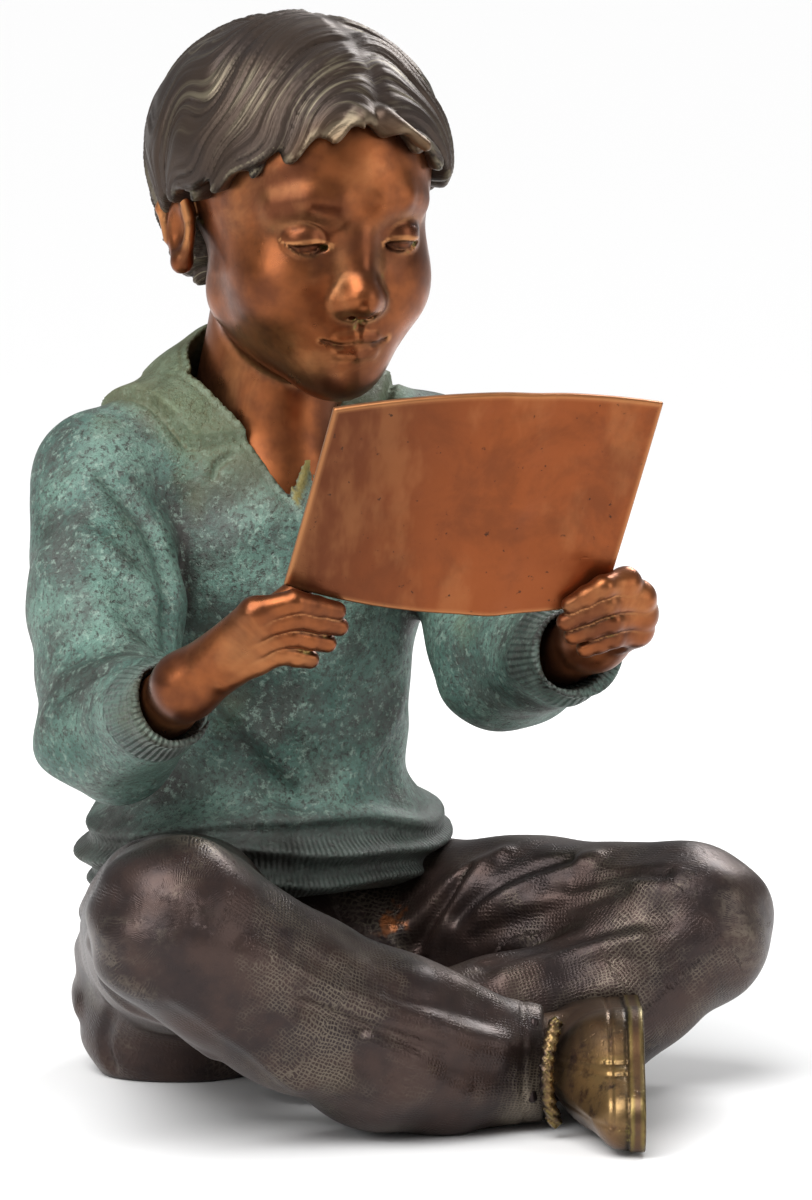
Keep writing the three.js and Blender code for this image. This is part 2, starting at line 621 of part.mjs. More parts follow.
function simplified({ positions, triangles }, target) {
  const points = positions.map((p) => [...p]);
  const faces = triangles.map((t) => [...t]);
  const alive = faces.map(() => true);
  const around = points.map(() => []);
  const quadrics = new Float64Array(points.length * QUADRIC);
  const version = new Int32Array(points.length);
  const normalOf = (a, b, c) => cross(minus(b, a), minus(c, a));
  const spanSquared = (a, b) => (a[0] - b[0]) ** 2 + (a[1] - b[1]) ** 2 + (a[2] - b[2]) ** 2;
  faces.forEach((face, f) => {
    const [a, b, c] = face.map((v) => points[v]);
    const normal = normalOf(a, b, c);
    const size = Math.hypot(...normal);
    for (const v of face) around[v].push(f);
    if (size < 1e-9) return;
    const flat = times(normal, 1 / size);
    for (const v of face) addPlane(quadrics, v, flat, -dot(flat, a), size);
  });
  const heap = new Heap();
  const offer = (a, b) => {
    const q = new Float64Array(QUADRIC);
    for (let i = 0; i < QUADRIC; i += 1) q[i] = quadrics[a * QUADRIC + i] + quadrics[b * QUADRIC + i];
    const point = bestPoint(q, points[a], points[b]);
    const span = minus(points[a], points[b]);
    const cost = Math.max(quadricError(q, point), 0) + 1e-3 * dot(span, span);
    heap.push({ cost, a, b, point, stamp: version[a] + version[b] });
  };
  const facesOf = (v) => around[v].filter((f) => alive[f]);
  const neighbours = (v) => new Set(facesOf(v).flatMap((f) => faces[f]).filter((w) => w !== v));
  const roundness = ([p, q, r], size) => {
    const longest = Math.max(spanSquared(p, q), spanSquared(q, r), spanSquared(r, p));
    return size / (longest + 1e-12);
  };
  const keepsShape = (v, other, point) =>
    facesOf(v).every((f) => {
      if (faces[f].includes(other)) return true;
      const before = faces[f].map((w) => points[w]);
      const after = faces[f].map((w) => (w === v ? point : points[w]));
      const was = normalOf(...before);
      const now = normalOf(...after);
      const wasSize = Math.hypot(...was);
      const nowSize = Math.hypot(...now);
      const wasRound = roundness(before, wasSize);
      const nowRound = roundness(after, nowSize);
      if (nowRound < Math.min(0.1, wasRound)) return false;
      return dot(was, now) > (wasRound < 0.1 ? -0.2 : 0.2) * wasSize * nowSize;
    });
  let left = faces.length;
  const collapse = ({ a, b, point, stamp }) => {
    if (version[a] < 0 || version[b] < 0 || version[a] + version[b] !== stamp) return;
    const ring = neighbours(a);
    if ([...neighbours(b)].filter((v) => ring.has(v)).length !== 2) return;
    const places = [point, mix(points[a], points[b], 0.5), points[a], points[b]];
    const fits = places.find((place) => keepsShape(a, b, place) && keepsShape(b, a, place));
    if (!fits) return;
    for (const f of facesOf(b)) {
      if (faces[f].includes(a)) {
        alive[f] = false;
        left -= 1;
      } else {
        faces[f] = faces[f].map((v) => (v === b ? a : v));
        around[a].push(f);
      }
    }
    points[a] = fits;
    for (let i = 0; i < QUADRIC; i += 1) quadrics[a * QUADRIC + i] += quadrics[b * QUADRIC + i];
    version[b] = -1;
    version[a] += 1;
    around[a] = facesOf(a);
    for (const v of neighbours(a)) offer(a, v);
  };
  for (let pass = 0; pass < PASSES && left > target; pass += 1) {
    faces.forEach((face, f) => {
      face.forEach((a, i) => {
        const b = face[(i + 1) % 3];
        if (alive[f] && a < b) offer(a, b);
      });
    });
    while (left > target && heap.items.length > 0) collapse(heap.pop());
  }
  const used = new Map();
  const kept = faces.filter((_, f) => alive[f]);
  const index = (v) => {
    if (!used.has(v)) used.set(v, used.size);
    return used.get(v);
  };
  const compact = kept.map((face) => face.map(index));
  return { positions: [...used.keys()].map((v) => points[v]), triangles: compact };
}

// Meshes and solids
const solidOf = ({ positions, triangles }) =>
  new wasm.Manifold(
    new wasm.Mesh({
      numProp: 3,
      vertProperties: Float32Array.from(positions.flat()),
      triVerts: Uint32Array.from(triangles.flat()),
    }),
  );

function geometryOf(solid) {
  const { vertProperties, triVerts, numProp } = solid.getMesh();
  const geometry = new THREE.BufferGeometry();
  const positions = new Float32Array((vertProperties.length / numProp) * 3);
  for (let i = 0; i < positions.length / 3; i += 1) {
    for (let j = 0; j < 3; j += 1) positions[i * 3 + j] = vertProperties[i * numProp + j];
  }
  geometry.setAttribute('position', new THREE.BufferAttribute(positions, 3));
  geometry.setIndex(Array.from(triVerts));
  geometry.computeVertexNormals();
  return geometry;
}

// The sheet: a grid of places on its front and back, closed round the edge
const SHEET_COLUMNS = Math.round(SHEET_WIDTH / SHEET_CELL);
const SHEET_ROWS = Math.round((SHEET_HEIGHT / SHEET_CELL) * 0.7);

function sheetMesh(extra = 0) {
  const positions = [];
  const triangles = [];
  const ring = SHEET_COLUMNS + 1;
  const face = ring * (SHEET_ROWS + 1);
  for (const out of [halfSheet + extra, -halfSheet - extra]) {
    for (let row = 0; row <= SHEET_ROWS; row += 1) {
      for (let column = 0; column <= SHEET_COLUMNS; column += 1) {
        const a = (column / SHEET_COLUMNS) * 2 - 1;
        const b = (row / SHEET_ROWS) * 2 - 1;
        const bulge = (EDGE_BULGE / SCALE) * (1 - a * a) * b;
        const up = b * (halfHeight + extra - EDGE_BULGE / SCALE / 2) * (1 + 0.07 * a);
        positions.push(onSheet(a * (halfWidth + extra), up + bulge, out));
      }
    }
  }
  const quad = (a, b, c, d) => triangles.push([a, b, c], [a, c, d]);
  for (let row = 0; row < SHEET_ROWS; row += 1) {
    for (let column = 0; column < SHEET_COLUMNS; column += 1) {
      const corner = row * ring + column;
      quad(corner, corner + 1, corner + ring + 1, corner + ring);
      const behind = corner + face;
      quad(behind, behind + ring, behind + ring + 1, behind + 1);
    }
  }
  for (let column = 0; column < SHEET_COLUMNS; column += 1) {
    const top = SHEET_ROWS * ring + column;
    quad(column + 1, column, column + face, column + face + 1);
    quad(top, top + 1, top + face + 1, top + face);
  }
  for (let row = 0; row < SHEET_ROWS; row += 1) {
    const start = row * ring;
    const end = start + SHEET_COLUMNS;
    quad(start, start + ring, start + ring + face, start + face);
    quad(end + ring, end, end + face, end + ring + face);
  }
  return { positions, triangles };
}

// A block under the ground takes off all that would stand below it
function groundBlock() {
  const box = new THREE.BoxGeometry(GROUND_REACH, GROUND_REACH, GROUND_REACH);
  const corners = new Map();
  const positions = [];
  const source = box.getAttribute('position');
  const index = [];
  for (let i = 0; i < source.count; i += 1) {
    const p = [source.getX(i), source.getY(i), source.getZ(i) - GROUND_REACH / 2];
    const key = p.join();
    if (!corners.has(key)) {
      corners.set(key, positions.length);
      positions.push(p);
    }
    index.push(corners.get(key));
  }
  const triangles = [];
  for (let i = 0; i < box.index.count; i += 3) {
    triangles.push([0, 1, 2].map((j) => index[box.index.getX(i + j)]));
  }
  return { positions, triangles };
}

function handRightField() {
  const wrist = plus(CUFF_RIGHT, [-3, -18, 12]);
  return handField(
    -1,
    wrist,
    CUFF_RIGHT,
    ELBOW_RIGHT,
    [[15, -5, 2], [14, -14, 2], [10, -25, 1], [6, -36, 0]],
    [[-4, 5, 5], [-8, -5, 5], [-8, -17, 4], [-6, -29, 3]],
    [[-31, -2, 0], [-35, -12, 0], [-31, -23, 0], [-24, -34, 0]],
    [[6, -22, 2], [-14, 6, 0]],
  );
}

function handLeftField() {
  const wrist = plus(CUFF_LEFT, [4, -14, 10]);
  return handField(
    1,
    wrist,
    CUFF_LEFT,
    ELBOW_LEFT,
    [[8, 16, -3], [20, 6, -3], [25, -6, -4], [26, -18, -6]],
    [[-8, 18, 5], [-3, 8, 6], [3, -4, 6], [8, -15, 4]],
    [[-22, 4, 0], [-22, -7, 0], [-15, -16, 0], [-5, -25, 0]],
    [[16, -12, 0], [-14, 8, 0]],
  );
}

function shoeRightField() {
  const frame = { ...sideFrame, origin: seen(SOLE_FACE, 0, 0) };
  const sock = inFrame(frame, limb([-40, -176, 36], [-84, -194, 34], 26, 24));
  const shoe = shoeField(frame, [-152, 36, 29], [-230, 37, 33], [-286, 21, 18]);
  return joined(4, sock, shoe);
}

function shoeLeftField() {
  const frame = turnedFrame([-20, -140, 0], 70);
  return inFrame(frame, chain([[10, 30, 34], [0, -25, 30], [0, -70, 22]], [28, 28, 20], 10));
}

const box = (low, high) => ({ low, high });
const FIELDS = {
  head: [headField(), box([-110, -160, 330], [110, 90, 640])],
  hair: [hairInWorld(), box([-120, -160, 400], [120, 100, 650])],
  sweater: [sweaterField(), box([-228, -310, 90], [170, 105, 440])],
  trousers: [trousersField(), box([-250, -320, -22], [235, 120, 190])],
  handRight: [handRightField(), box([-220, -330, 210], [-90, -150, 370])],
  handLeft: [handLeftField(), box([-20, -380, 220], [110, -220, 380])],
  shoeRight: [shoeRightField(), box([-80, -420, -15], [150, -150, 100])],
  shoeLeft: [shoeLeftField(), box([-160, -250, -15], [60, -50, 100])],
};

function hairInWorld() {
  return inFrame(headFrame, hairField());
}

function castBoy() {
  let solid = null;
  for (const [name, [field, { low, high }]] of Object.entries(FIELDS)) {
    const { step, triangles } = REGIONS[name];
    const region = solidOf(simplified(surfaceOf(field, low, high, step), triangles));
    solid = solid ? solid.add(region) : region;
  }
  const slot = solidOf(sheetMesh(GRIP_CLEARANCE / SCALE));
  return solid.subtract(solidOf(groundBlock())).subtract(slot);
}

function castPiece(name, solid, color, roughness) {
  const geometry = geometryOf(solid);
  geometry.scale(SCALE, SCALE, SCALE);
  const material = new THREE.MeshStandardMaterial({ color, roughness, metalness: 0.85 });
  const mesh = new THREE.Mesh(geometry, material);
  mesh.name = name;
  return mesh;
}

const statue = new THREE.Group();
statue.add(castPiece('boy', castBoy(), 0x5a5142, 0.5));
statue.add(castPiece('reading_sheet', solidOf(sheetMesh()), 0x8a4a24, 0.4));

const bounds = new THREE.Box3().setFromObject(statue);
const middle = bounds.getCenter(new THREE.Vector3());
statue.position.set(-middle.x, -middle.y, -bounds.min.z);

export default statue;
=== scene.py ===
"""Seated boy reading a sheet, a cast bronze with a painted and rubbed patina.

The figure is modelled as distance fields in figure units, which are millimetres from the
pelvis axis on the ground: he faces -Y and his left is +X. Each region of the casting is
meshed from its field, and carries marks for its recesses, worn highs, painted shade and
cloth directions.
"""

import itertools
import math

import bpy
import numpy as np
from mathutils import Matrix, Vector


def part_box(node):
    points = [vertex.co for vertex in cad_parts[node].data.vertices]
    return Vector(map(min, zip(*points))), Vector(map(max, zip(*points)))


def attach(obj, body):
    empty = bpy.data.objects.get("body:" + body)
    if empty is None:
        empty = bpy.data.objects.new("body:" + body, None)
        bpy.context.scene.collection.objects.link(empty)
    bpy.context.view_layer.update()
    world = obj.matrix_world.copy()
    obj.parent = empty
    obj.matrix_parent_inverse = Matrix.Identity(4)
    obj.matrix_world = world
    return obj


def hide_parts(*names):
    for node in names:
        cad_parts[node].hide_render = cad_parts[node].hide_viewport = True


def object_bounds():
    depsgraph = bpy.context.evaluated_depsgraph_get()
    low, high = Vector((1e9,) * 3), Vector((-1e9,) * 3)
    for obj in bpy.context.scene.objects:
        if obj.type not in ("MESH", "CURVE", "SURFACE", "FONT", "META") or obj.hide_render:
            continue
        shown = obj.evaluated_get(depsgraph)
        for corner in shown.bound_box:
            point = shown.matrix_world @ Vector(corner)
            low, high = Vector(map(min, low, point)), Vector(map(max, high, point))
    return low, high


bl_info = {
    "name": "Bronze reading boy",
    "version": (1, 0, 0),
    "blender": (4, 5, 0),
    "location": "3D View > Sidebar > Bronze",
    "description": "Models the patinated casting of a seated boy who reads a sheet",
    "category": "Object",
}

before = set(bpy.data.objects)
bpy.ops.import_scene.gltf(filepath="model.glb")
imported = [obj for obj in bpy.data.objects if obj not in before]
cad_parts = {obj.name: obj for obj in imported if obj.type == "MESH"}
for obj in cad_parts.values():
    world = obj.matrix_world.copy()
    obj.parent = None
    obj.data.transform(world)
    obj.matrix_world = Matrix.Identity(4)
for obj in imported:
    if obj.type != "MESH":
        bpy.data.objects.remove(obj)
CAD_LOW, CAD_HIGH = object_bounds()

MM = 0.001
BODY = "root"

# Pose in degrees: a negative turn is towards his right
CHEST_TURN = -13
HEAD_TURN = -8
HEAD_BOW = 10
BEST_SIDE = 32

# Joints, in figure units
HIP_RIGHT = (-66, -5, 80)
HIP_LEFT = (67, 4, 72)
KNEE_RIGHT = (-186, -203, 128)
CALF_RIGHT = ((-115, -217, 78), (-68, -229, 56), (-31, -234, 44))
ANKLE_RIGHT = (26, -250, 34)
THIGH_LEFT = (116, -100, 82)
KNEE_LEFT = (164, -196, 93)
CALF_LEFT = (112, -190, 54)
ANKLE_LEFT = (0, -158, 36)
SHOULDER_RIGHT = (-108, 18, 348)
SHOULDER_LEFT = (108, -26, 346)
ELBOW_RIGHT = (-158, -81, 223)
ELBOW_LEFT = (80, -132, 251)
CUFF_RIGHT = (-181, -192, 254)
CUFF_LEFT = (45, -258, 273)
NECK_BASE = (-6, 6, 366)
HEAD_CENTRE = (0, -35, 516)
SHEET_CENTRE = (-59, -311, 373)

# Widths of limbs and clothes
THIGH_RADIUS = 62
KNEE_RADIUS = 50
HEM_RADIUS = 34
SHOULDER_RADIUS = 41
ELBOW_RADIUS = 41
CUFF_RADIUS = 26
WRIST_RADIUS = 17
FINGER_RADIUS = 6.2
SOLE_THICKNESS = 9.5
SOLE_FACE = 213

# The sheet
SHEET_WIDTH = 188
SHEET_HEIGHT = 130
SHEET_THICKNESS = 4
SHEET_BOW = 6
EDGE_BULGE = 10

# Hair: the edge is (degrees round from the front, height) in the head's frame
PART_OFFSET = 15
LOCKS_PER_RADIAN = 3.6
SIDE_SHIFT = 0.37
HAIR_EDGE = ((0, 60), (22, 50), (45, 31), (68, 12), (90, 4), (108, -26), (128, -60), (180, -68))

# Clothes: gathers are (height, rise), seams (height, lean, depth, width); the lap has rust on it
NECK_HOLE = 45
NECK_V_POINT = 84
NECK_V_SIDE = (0.868, 0.496)
SWEATER_HEM = 106
WAIST_REACH = 125
RIBBING = 34
COLLAR_WIDTH = 27
HEM_ACROSS = 157
HEM_STITCH = 12
HEM_GATHERS = ((153, 4.5), (136, 7), (118, 6))
COLLAR_RISE = 5.6
SHOE_SEAMS = ((50, 0.06, 0.9, 1), (45, 0.06, 0.9, 1), (17, -0.1, 1.1, 1.2))
LAP = (40, -74, 108)
LAP_RADIUS = 26

# Meshing
BLOCK = 8
# Painted shade: the whole figure is sampled at this cell size, in this box, and darkens a surface where it
# stands within this reach
PAINTED_SHADE_REACH = 11
PAINTED_SHADE_CELL = 5.5
PAINTED_SHADE_BOX = ((-262, -396, -30), (262, 140, 665))
SHEET_CELLS = (150, 100)

# Stage: lamps are (name, place, size, share of the key's power)
FLOOR_HALF = 30
PICTURE_HEIGHT = 1200
PICTURE_SCALE = 1675
AIM_ACROSS = 131
AIM_UP = 457
SENSOR = 36
SKY_PLACE = (-0.5, 0.75, 1.5)
SKY_ANGLE = math.radians(50)
LAMPS = (
    ("Key light", (-1.5, 1.6, 1.4), 1.5, 1),
    ("Fill light", (2, 0.9, 0.9), 1.2, 0.4),
    ("Rim light", (0.9, -1.7, 1.7), 0.9, 1.3),
)


# Vector arithmetic on single points and on arrays of points
def vec(*p):
    return np.array(p if len(p) > 1 else p[0], float)


def unit(a):
    return vec(a) / np.linalg.norm(a)


def mix(a, b, t):
    return vec(a) * (1 - t) + vec(b) * t


def ramp(v, low, high):
    """A smooth step from 0 at low to 1 at high."""
    t = np.clip((v - low) / (high - low), 0, 1)
    return t * t * (3 - 2 * t)


def bell(v, width):
    return np.exp(-((v / width) ** 2))


class Frame:
    """An origin and unit axes to the left, to the back and up, turned and leaning forward."""

    def __init__(self, origin, turn, bow=0):
        turn, bow = math.radians(turn), math.radians(bow)
        ahead = vec(math.sin(turn), -math.cos(turn), 0)
        self.origin = vec(origin)
        self.up = vec(0, 0, math.cos(bow)) + ahead * math.sin(bow)
        self.back = vec(0, 0, math.sin(bow)) - ahead * math.cos(bow)
        self.left = np.cross(self.back, self.up)
        self.axes = np.stack([self.left, self.back, self.up])

    def out(self, p):
        return self.origin + vec(p) @ self.axes

    def into(self, p):
        return (p - self.origin) @ self.axes.T


HEAD = Frame(HEAD_CENTRE, HEAD_TURN, HEAD_BOW)
CHEST = Frame((-4, -4, 280), CHEST_TURN)
SIDE = Frame((0, 0, 0), -BEST_SIDE)
COLLAR = Frame((-8, 2, 392), CHEST_TURN, 28)
SHOE = Frame(SIDE.out((SOLE_FACE, 0, 0)), -BEST_SIDE)


def angle_round(axis, q, reference=(0, 0, 1)):
    side = unit(np.cross(axis, reference))
    return np.arctan2(q @ np.cross(axis, side), q @ side)


# Distance fields: functions of an array of points, negative inside
def ball(c, r):
    return lambda p: np.linalg.norm(p - vec(c), axis=1) - r


def egg(c, radii, turn=0, bow=0):
    axes, radii = Frame((0, 0, 0), turn, bow).axes, vec(radii)

    def field(p):
        q = (p - vec(c)) @ axes.T / radii
        scaled = np.linalg.norm(q, axis=1)
        slope = np.linalg.norm(q / radii, axis=1) + 1e-9
        return scaled * (scaled - 1) / slope

    return field


def limb(a, b, ra, rb=None):
    """A cone with a ball at each end."""
    a, b = vec(a), vec(b)
    rb = ra if rb is None else rb
    length = np.linalg.norm(b - a)
    axis = (b - a) / length
    lean = (ra - rb) / length
    tall = math.sqrt(1 - lean * lean)

    def field(p):
        q = p - a
        along = q @ axis
        off = np.sqrt(np.maximum((q * q).sum(1) - along * along, 0))
        place = tall * along - lean * off
        d = tall * off + lean * along - ra
        d = np.where(place < 0, np.hypot(off, along) - ra, d)
        return np.where(place > tall * length, np.hypot(off, along - length) - rb, d)

    return field


def soft_min(a, b, k):
    h = np.maximum(k - np.abs(a - b), 0) / k
    return np.minimum(a, b) - h * h * k * 0.25


def soft_max(a, b, k):
    return -soft_min(-a, -b, k)


def joined(k, *fields):
    def field(p):
        d = fields[0](p)
        for other in fields[1:]:
            d = soft_min(d, other(p), k)
        return d

    return field


def carved(k, field, *tools):
    def cut(p):
        d = field(p)
        for tool in tools:
            d = soft_max(d, -tool(p), k)
        return d

    return cut


def chain(points, radii, k=3):
    return joined(k, *[limb(a, b, ra, rb) for a, b, ra, rb in zip(points, points[1:], radii, radii[1:])])


def mirrored(field):
    return lambda p: field(p * (np.sign(p[:, :1]) * vec(1, 0, 0) + vec(0, 1, 1)))


def in_frame(place, field):
    return lambda p: field(place.into(p))


def ripples(p, size, seed, count=7):
    """A smooth field of bumps about size across, between about -1 and 1."""
    draw = np.random.RandomState(seed)
    total = np.zeros(len(p))
    for _ in range(count):
        wave = unit(draw.normal(size=3)) * 2 * math.pi / size * draw.uniform(0.7, 1.4)
        total += np.sin(p @ wave + draw.uniform(0, 6.3))
    return total / math.sqrt(count)


def curve_through(points, steps=4):
    """Catmull-Rom curve through given points."""
    points = [vec(q) for q in points]
    ends = [2 * points[0] - points[1], *points, 2 * points[-1] - points[-2]]
    curve = []
    for a, b, c, d in zip(ends, ends[1:], ends[2:], ends[3:]):
        for t in np.arange(steps) / steps:
            curve.append(0.5 * (2 * b + (c - a) * t + (2 * a - 5 * b + 4 * c - d) * t**2
                                + (3 * b - a - 3 * c + d) * t**3))
    return curve + [points[-1]]


def distance_to(curve, p):
    nearest = np.full(len(p), 1e3)
    for a, b in zip(curve, curve[1:]):
        span = b - a
        t = np.clip((p - a) @ span / (span @ span), 0, 1)
        nearest = np.minimum(nearest, np.linalg.norm(p - a - t[:, None] * span, axis=1))
    return nearest


def onto(field, points):
    """Points moved along the field's slope onto its surface."""
    for _ in range(4):
        d = field(points)
        slope = np.stack([field(points + step) - d for step in np.eye(3)], 1)
        points = points - d[:, None] * slope / np.maximum((slope**2).sum(1), 0.1)[:, None]
    return points


def modelled(field, strokes, amount=1):
    """Strokes (width, rise, points) raise a fold or, with rise below 0, press a crease."""
    runs = [(w, rise * amount, onto(field, vec(curve_through(points)))) for w, rise, points in strokes]

    def field_with_strokes(p):
        d = field(p)
        near = np.abs(d) < 18
        for width, rise, curve in runs:
            low, high = np.min(curve, 0) - 2.6 * width, np.max(curve, 0) + 2.6 * width
            touched = near & (p > low).all(1) & (p < high).all(1)
            if touched.any():
                d[touched] -= rise * bell(distance_to(curve, p[touched]), width)
        return d

    return field_with_strokes


# The sheet's own frame: along its width, along its height, and out of its front face
SHEET_ACROSS = unit((176.5, -51, -10))
SHEET_UP = unit((6.5, -51, 119))
SHEET_OUT = unit(np.cross(SHEET_ACROSS, SHEET_UP))


def on_sheet(across, up, out=0):
    across, up, out = np.broadcast_arrays(vec([across]).T, vec([up]).T, vec([out]).T)
    a, b = across / (SHEET_WIDTH / 2), up / (SHEET_HEIGHT / 2)
    crease = bell(a - 0.24 + 0.04 * b, 0.13)
    stand = SHEET_BOW * (0.75 * (1 - a * a) + 0.3 * crease * (1 - 0.3 * b) - 0.12 * b * b)
    return (vec(SHEET_CENTRE) + SHEET_ACROSS * across + SHEET_UP * up + SHEET_OUT * (stand + out)).squeeze()


# Head, in its own frame: x to his left, y to the back, z up
EYE = (29, -66.5, -4)
EYE_RADIUS = 12.6


def eye_opening(p):
    """The almond between the lids, under a lowered upper lid."""
    q = p - vec(EYE)
    rise = np.degrees(np.arctan2(q[:, 2], -q[:, 1]))
    across = np.clip(1 - (q[:, 0] / 13.2) ** 2, -0.3, 1)
    middle = -17 - 0.25 * q[:, 0]
    return (np.abs(rise - middle) - 14 * across) * 0.22


def face_field():
    skull = egg((0, 12, 24), (70, 86, 74))
    forehead = egg((0, -32, 27), (57, 47, 50))
    face = egg((0, -24, -28), (58, 60, 70))
    cheek = mirrored(ball((27, -51, -37), 29.5))
    jaw = mirrored(limb((39, -6, -54), (13, -56, -80), 17, 15))
    muzzle = egg((0, -64, -60), (27, 23, 23))
    chin = ball((0, -68, -84), 16)
    mass = joined(22, skull, forehead, face, cheek, jaw, muzzle, chin)
    socket = mirrored(egg((29, -95, -3), (19, 15, 12)))
    brow = mirrored(chain(((15, -76.5, 19), (29, -74, 20.5), (44, -62, 14)), (3.2, 3.8, 2.8)))
    bridge = limb((0, -77, -4), (0, -89.5, -32), 6.5, 8.4)
    tip = ball((0, -93, -35), 8.6)
    wing = mirrored(egg((9.6, -85, -38.5), (6.3, 8.5, 6)))
    lids = carved(0.8, ball(EYE, EYE_RADIUS + 1.9), eye_opening)
    crease = chain(((17, -80, 3), (28, -83, 8), (42, -72, 2)), (1, 1.2, 0.8))
    upper_lip = mirrored(chain(((2.5, -87, -58), (10, -85.5, -59), (22, -77.5, -60.5)), (4.8, 4.4, 1.8)))
    lower_lip = mirrored(chain(((0, -85.5, -68), (9, -84, -67.4), (19.5, -77.5, -62.6)), (6, 5.4, 2)))
    mouth = mirrored(chain(((0, -93, -63), (11, -90.5, -63.4), (21, -84, -60.6)), (0.9, 0.9, 0.5)))
    nostril = mirrored(egg((5.4, -91, -44.5), (2.5, 4, 2.2)))
    philtrum = limb((0, -90.5, -46), (0, -91.5, -56), 1.6)
    browed = joined(15, carved(11, mass, socket), brow)
    nosed = joined(7, joined(12, browed, bridge, tip), wing)
    lidded = joined(2.2, nosed, mirrored(carved(1.2, lids, crease)))
    opening = mirrored(lambda p: np.maximum(eye_opening(p), ball(EYE, EYE_RADIUS + 4)(p)))
    open_eyes = carved(0.8, lidded, opening)
    seeing = joined(0.4, open_eyes, mirrored(ball(EYE, EYE_RADIUS)))
    lipped = joined(2.2, carved(3, seeing, philtrum), upper_lip, lower_lip)
    return carved(1.4, carved(2, lipped, nostril), mouth)


def ear_field():
    shell = egg((71, 14, -16), (7, 15, 25), 0, -8)
    bowl = egg((79, 8, -17), (7, 7.5, 12))
    edge = ((72, 1, -8), (75, 5, 4), (77, 14, 10), (79, 24, 4), (79, 27, -9), (76, 21, -26))
    rim = chain(edge, (2.4,) * len(edge), 4)
    lobe = ball((72, 7, -37), 6.2)
    return mirrored(joined(3.5, carved(4, joined(6, shell, lobe), bowl), rim))


def head_field():
    neck_top = HEAD.out((0, 17, -58))
    chest = egg((-4, -6, 300), (86, 62, 84), CHEST_TURN)
    neck = joined(20, limb(neck_top, NECK_BASE, 41, 45), limb(neck_top, CHEST.out((0, -26, 70)), 30, 24))
    upper = joined(16, neck, lambda p: np.maximum(chest(p), 330 - p[:, 2]))
    return joined(10, in_frame(HEAD, joined(3, face_field(), ear_field())), upper)


# Hair: locks are ridges with sharp valleys, which run from the parting down to the edge
def hair_flow(p):
    """Place across the locks in front and behind, distance out from the parting, share behind."""
    x, y, z = p.T
    out = np.abs(x - PART_OFFSET * ramp(z, 0, 60)) / 86
    round_head = np.arctan2(z + 30, 15 - y)
    sweep = round_head + 0.55 * np.cos(round_head) * out**1.5
    wave = 0.08 * np.sin(out * 4.2 + sweep * 3) + 0.045 * ripples(p, 58, 4)
    fall = np.arctan2(x, y - 25) / 1.7
    behind = ramp(y, 25, 62) * ramp(-np.hypot(x, y - 25), -70, -8)
    return sweep + wave, fall + wave, out, behind


def ridge(place, shift):
    """A round ridge to each lock, with a sharp valley on both sides."""
    return np.abs(np.sin(math.pi * (LOCKS_PER_RADIAN * place + shift)))


def lock_relief(p, depth):
    front, back, out, behind = hair_flow(p)
    side = np.where(p[:, 0] < PART_OFFSET, SIDE_SHIFT, 0)
    strength = ramp(out, 0, 0.12)

    def valleys(s):
        broad = ridge(s, side) ** 0.6
        middle = ridge(2.9 * s, 1.7 * side + 0.5 * out) ** 0.7
        return broad + 0.34 * middle + 0.15 * ridge(8.3 * s, 3.1 * side + 1.3 * out)

    relief = (valleys(front) * strength + 0.85 * (1 - strength)) * (1 - behind) + valleys(back) * behind
    return depth * (relief - 0.9)


def hair_edge(angle):
    at, height = np.array(HAIR_EDGE).T
    fine = np.linspace(0, 180, 181)
    steps = np.interp(fine, at, height)
    smooth = np.convolve(np.pad(steps, 8, mode="edge"), np.ones(17) / 17, mode="valid")
    return np.interp(angle, fine, smooth)


def hair_field(depth):
    cap = egg((0, 13, 24), (86.5, 101, 82))
    nape = egg((0, 42, -20), (65, 62, 58))
    mass = joined(16, cap, nape)
    tuft = mirrored(limb((6, -72, 66), (30, -80, 52), 8, 4))
    parting = chain(((15, -84, 62), (17, -66, 88), (17, -30, 106), (10, 4, 110)), (2, 2.6, 2.6, 1.2))

    def field(p):
        x, y, z = p.T
        angle = np.degrees(np.arctan2(np.abs(x), 10 - y))
        tips = 5 * ridge(hair_flow(p)[0], np.where(x < PART_OFFSET, SIDE_SHIFT, 0))
        ends = 3 * np.sin(angle * 0.42 + (x > 0)) + 3 - tips * ramp(angle, 12, 30)
        d = mass(p)
        near = np.abs(d) < 16
        d[near] -= lock_relief(p[near], depth)
        d = soft_max(d, -parting(p), 4)
        d = soft_min(d, tuft(p - vec(8, 0, 0)), 5)
        return soft_max(d, hair_edge(angle) + ends - z, 5)

    return in_frame(HEAD, field)


# Sweater
def sleeve(shoulder, elbow, cuff):
    axis = unit(vec(cuff) - vec(elbow))
    rib = vec(cuff) - axis * RIBBING
    middle = mix(shoulder, elbow, 0.5)
    upper = chain((shoulder, middle, elbow), (SHOULDER_RADIUS, SHOULDER_RADIUS + 3, ELBOW_RADIUS), 8)
    lower = limb(elbow, rib, ELBOW_RADIUS - 2, CUFF_RADIUS + 4)
    ribbed = chain((rib, mix(rib, cuff, 0.5), cuff), (CUFF_RADIUS + 1, CUFF_RADIUS - 0.5, CUFF_RADIUS), 2)
    hollow = limb(vec(cuff) - axis * 8, vec(cuff) + axis * 12, CUFF_RADIUS - 5)
    dressed = joined(7, joined(16, upper, lower), ribbed)
    return carved(2, lambda p: soft_max(dressed(p), (p - vec(cuff)) @ axis, 3), hollow)


def neck_hole(q):
    """Flat distance to the edge of the neck opening, a round with a V in front."""
    x, y = q[:, 0], q[:, 1]
    wedge = NECK_V_SIDE[0] * np.abs(x) - NECK_V_SIDE[1] * (y + NECK_V_POINT)
    return soft_min(np.hypot(x, y - 6) - NECK_HOLE, np.maximum(wedge, y), 6)


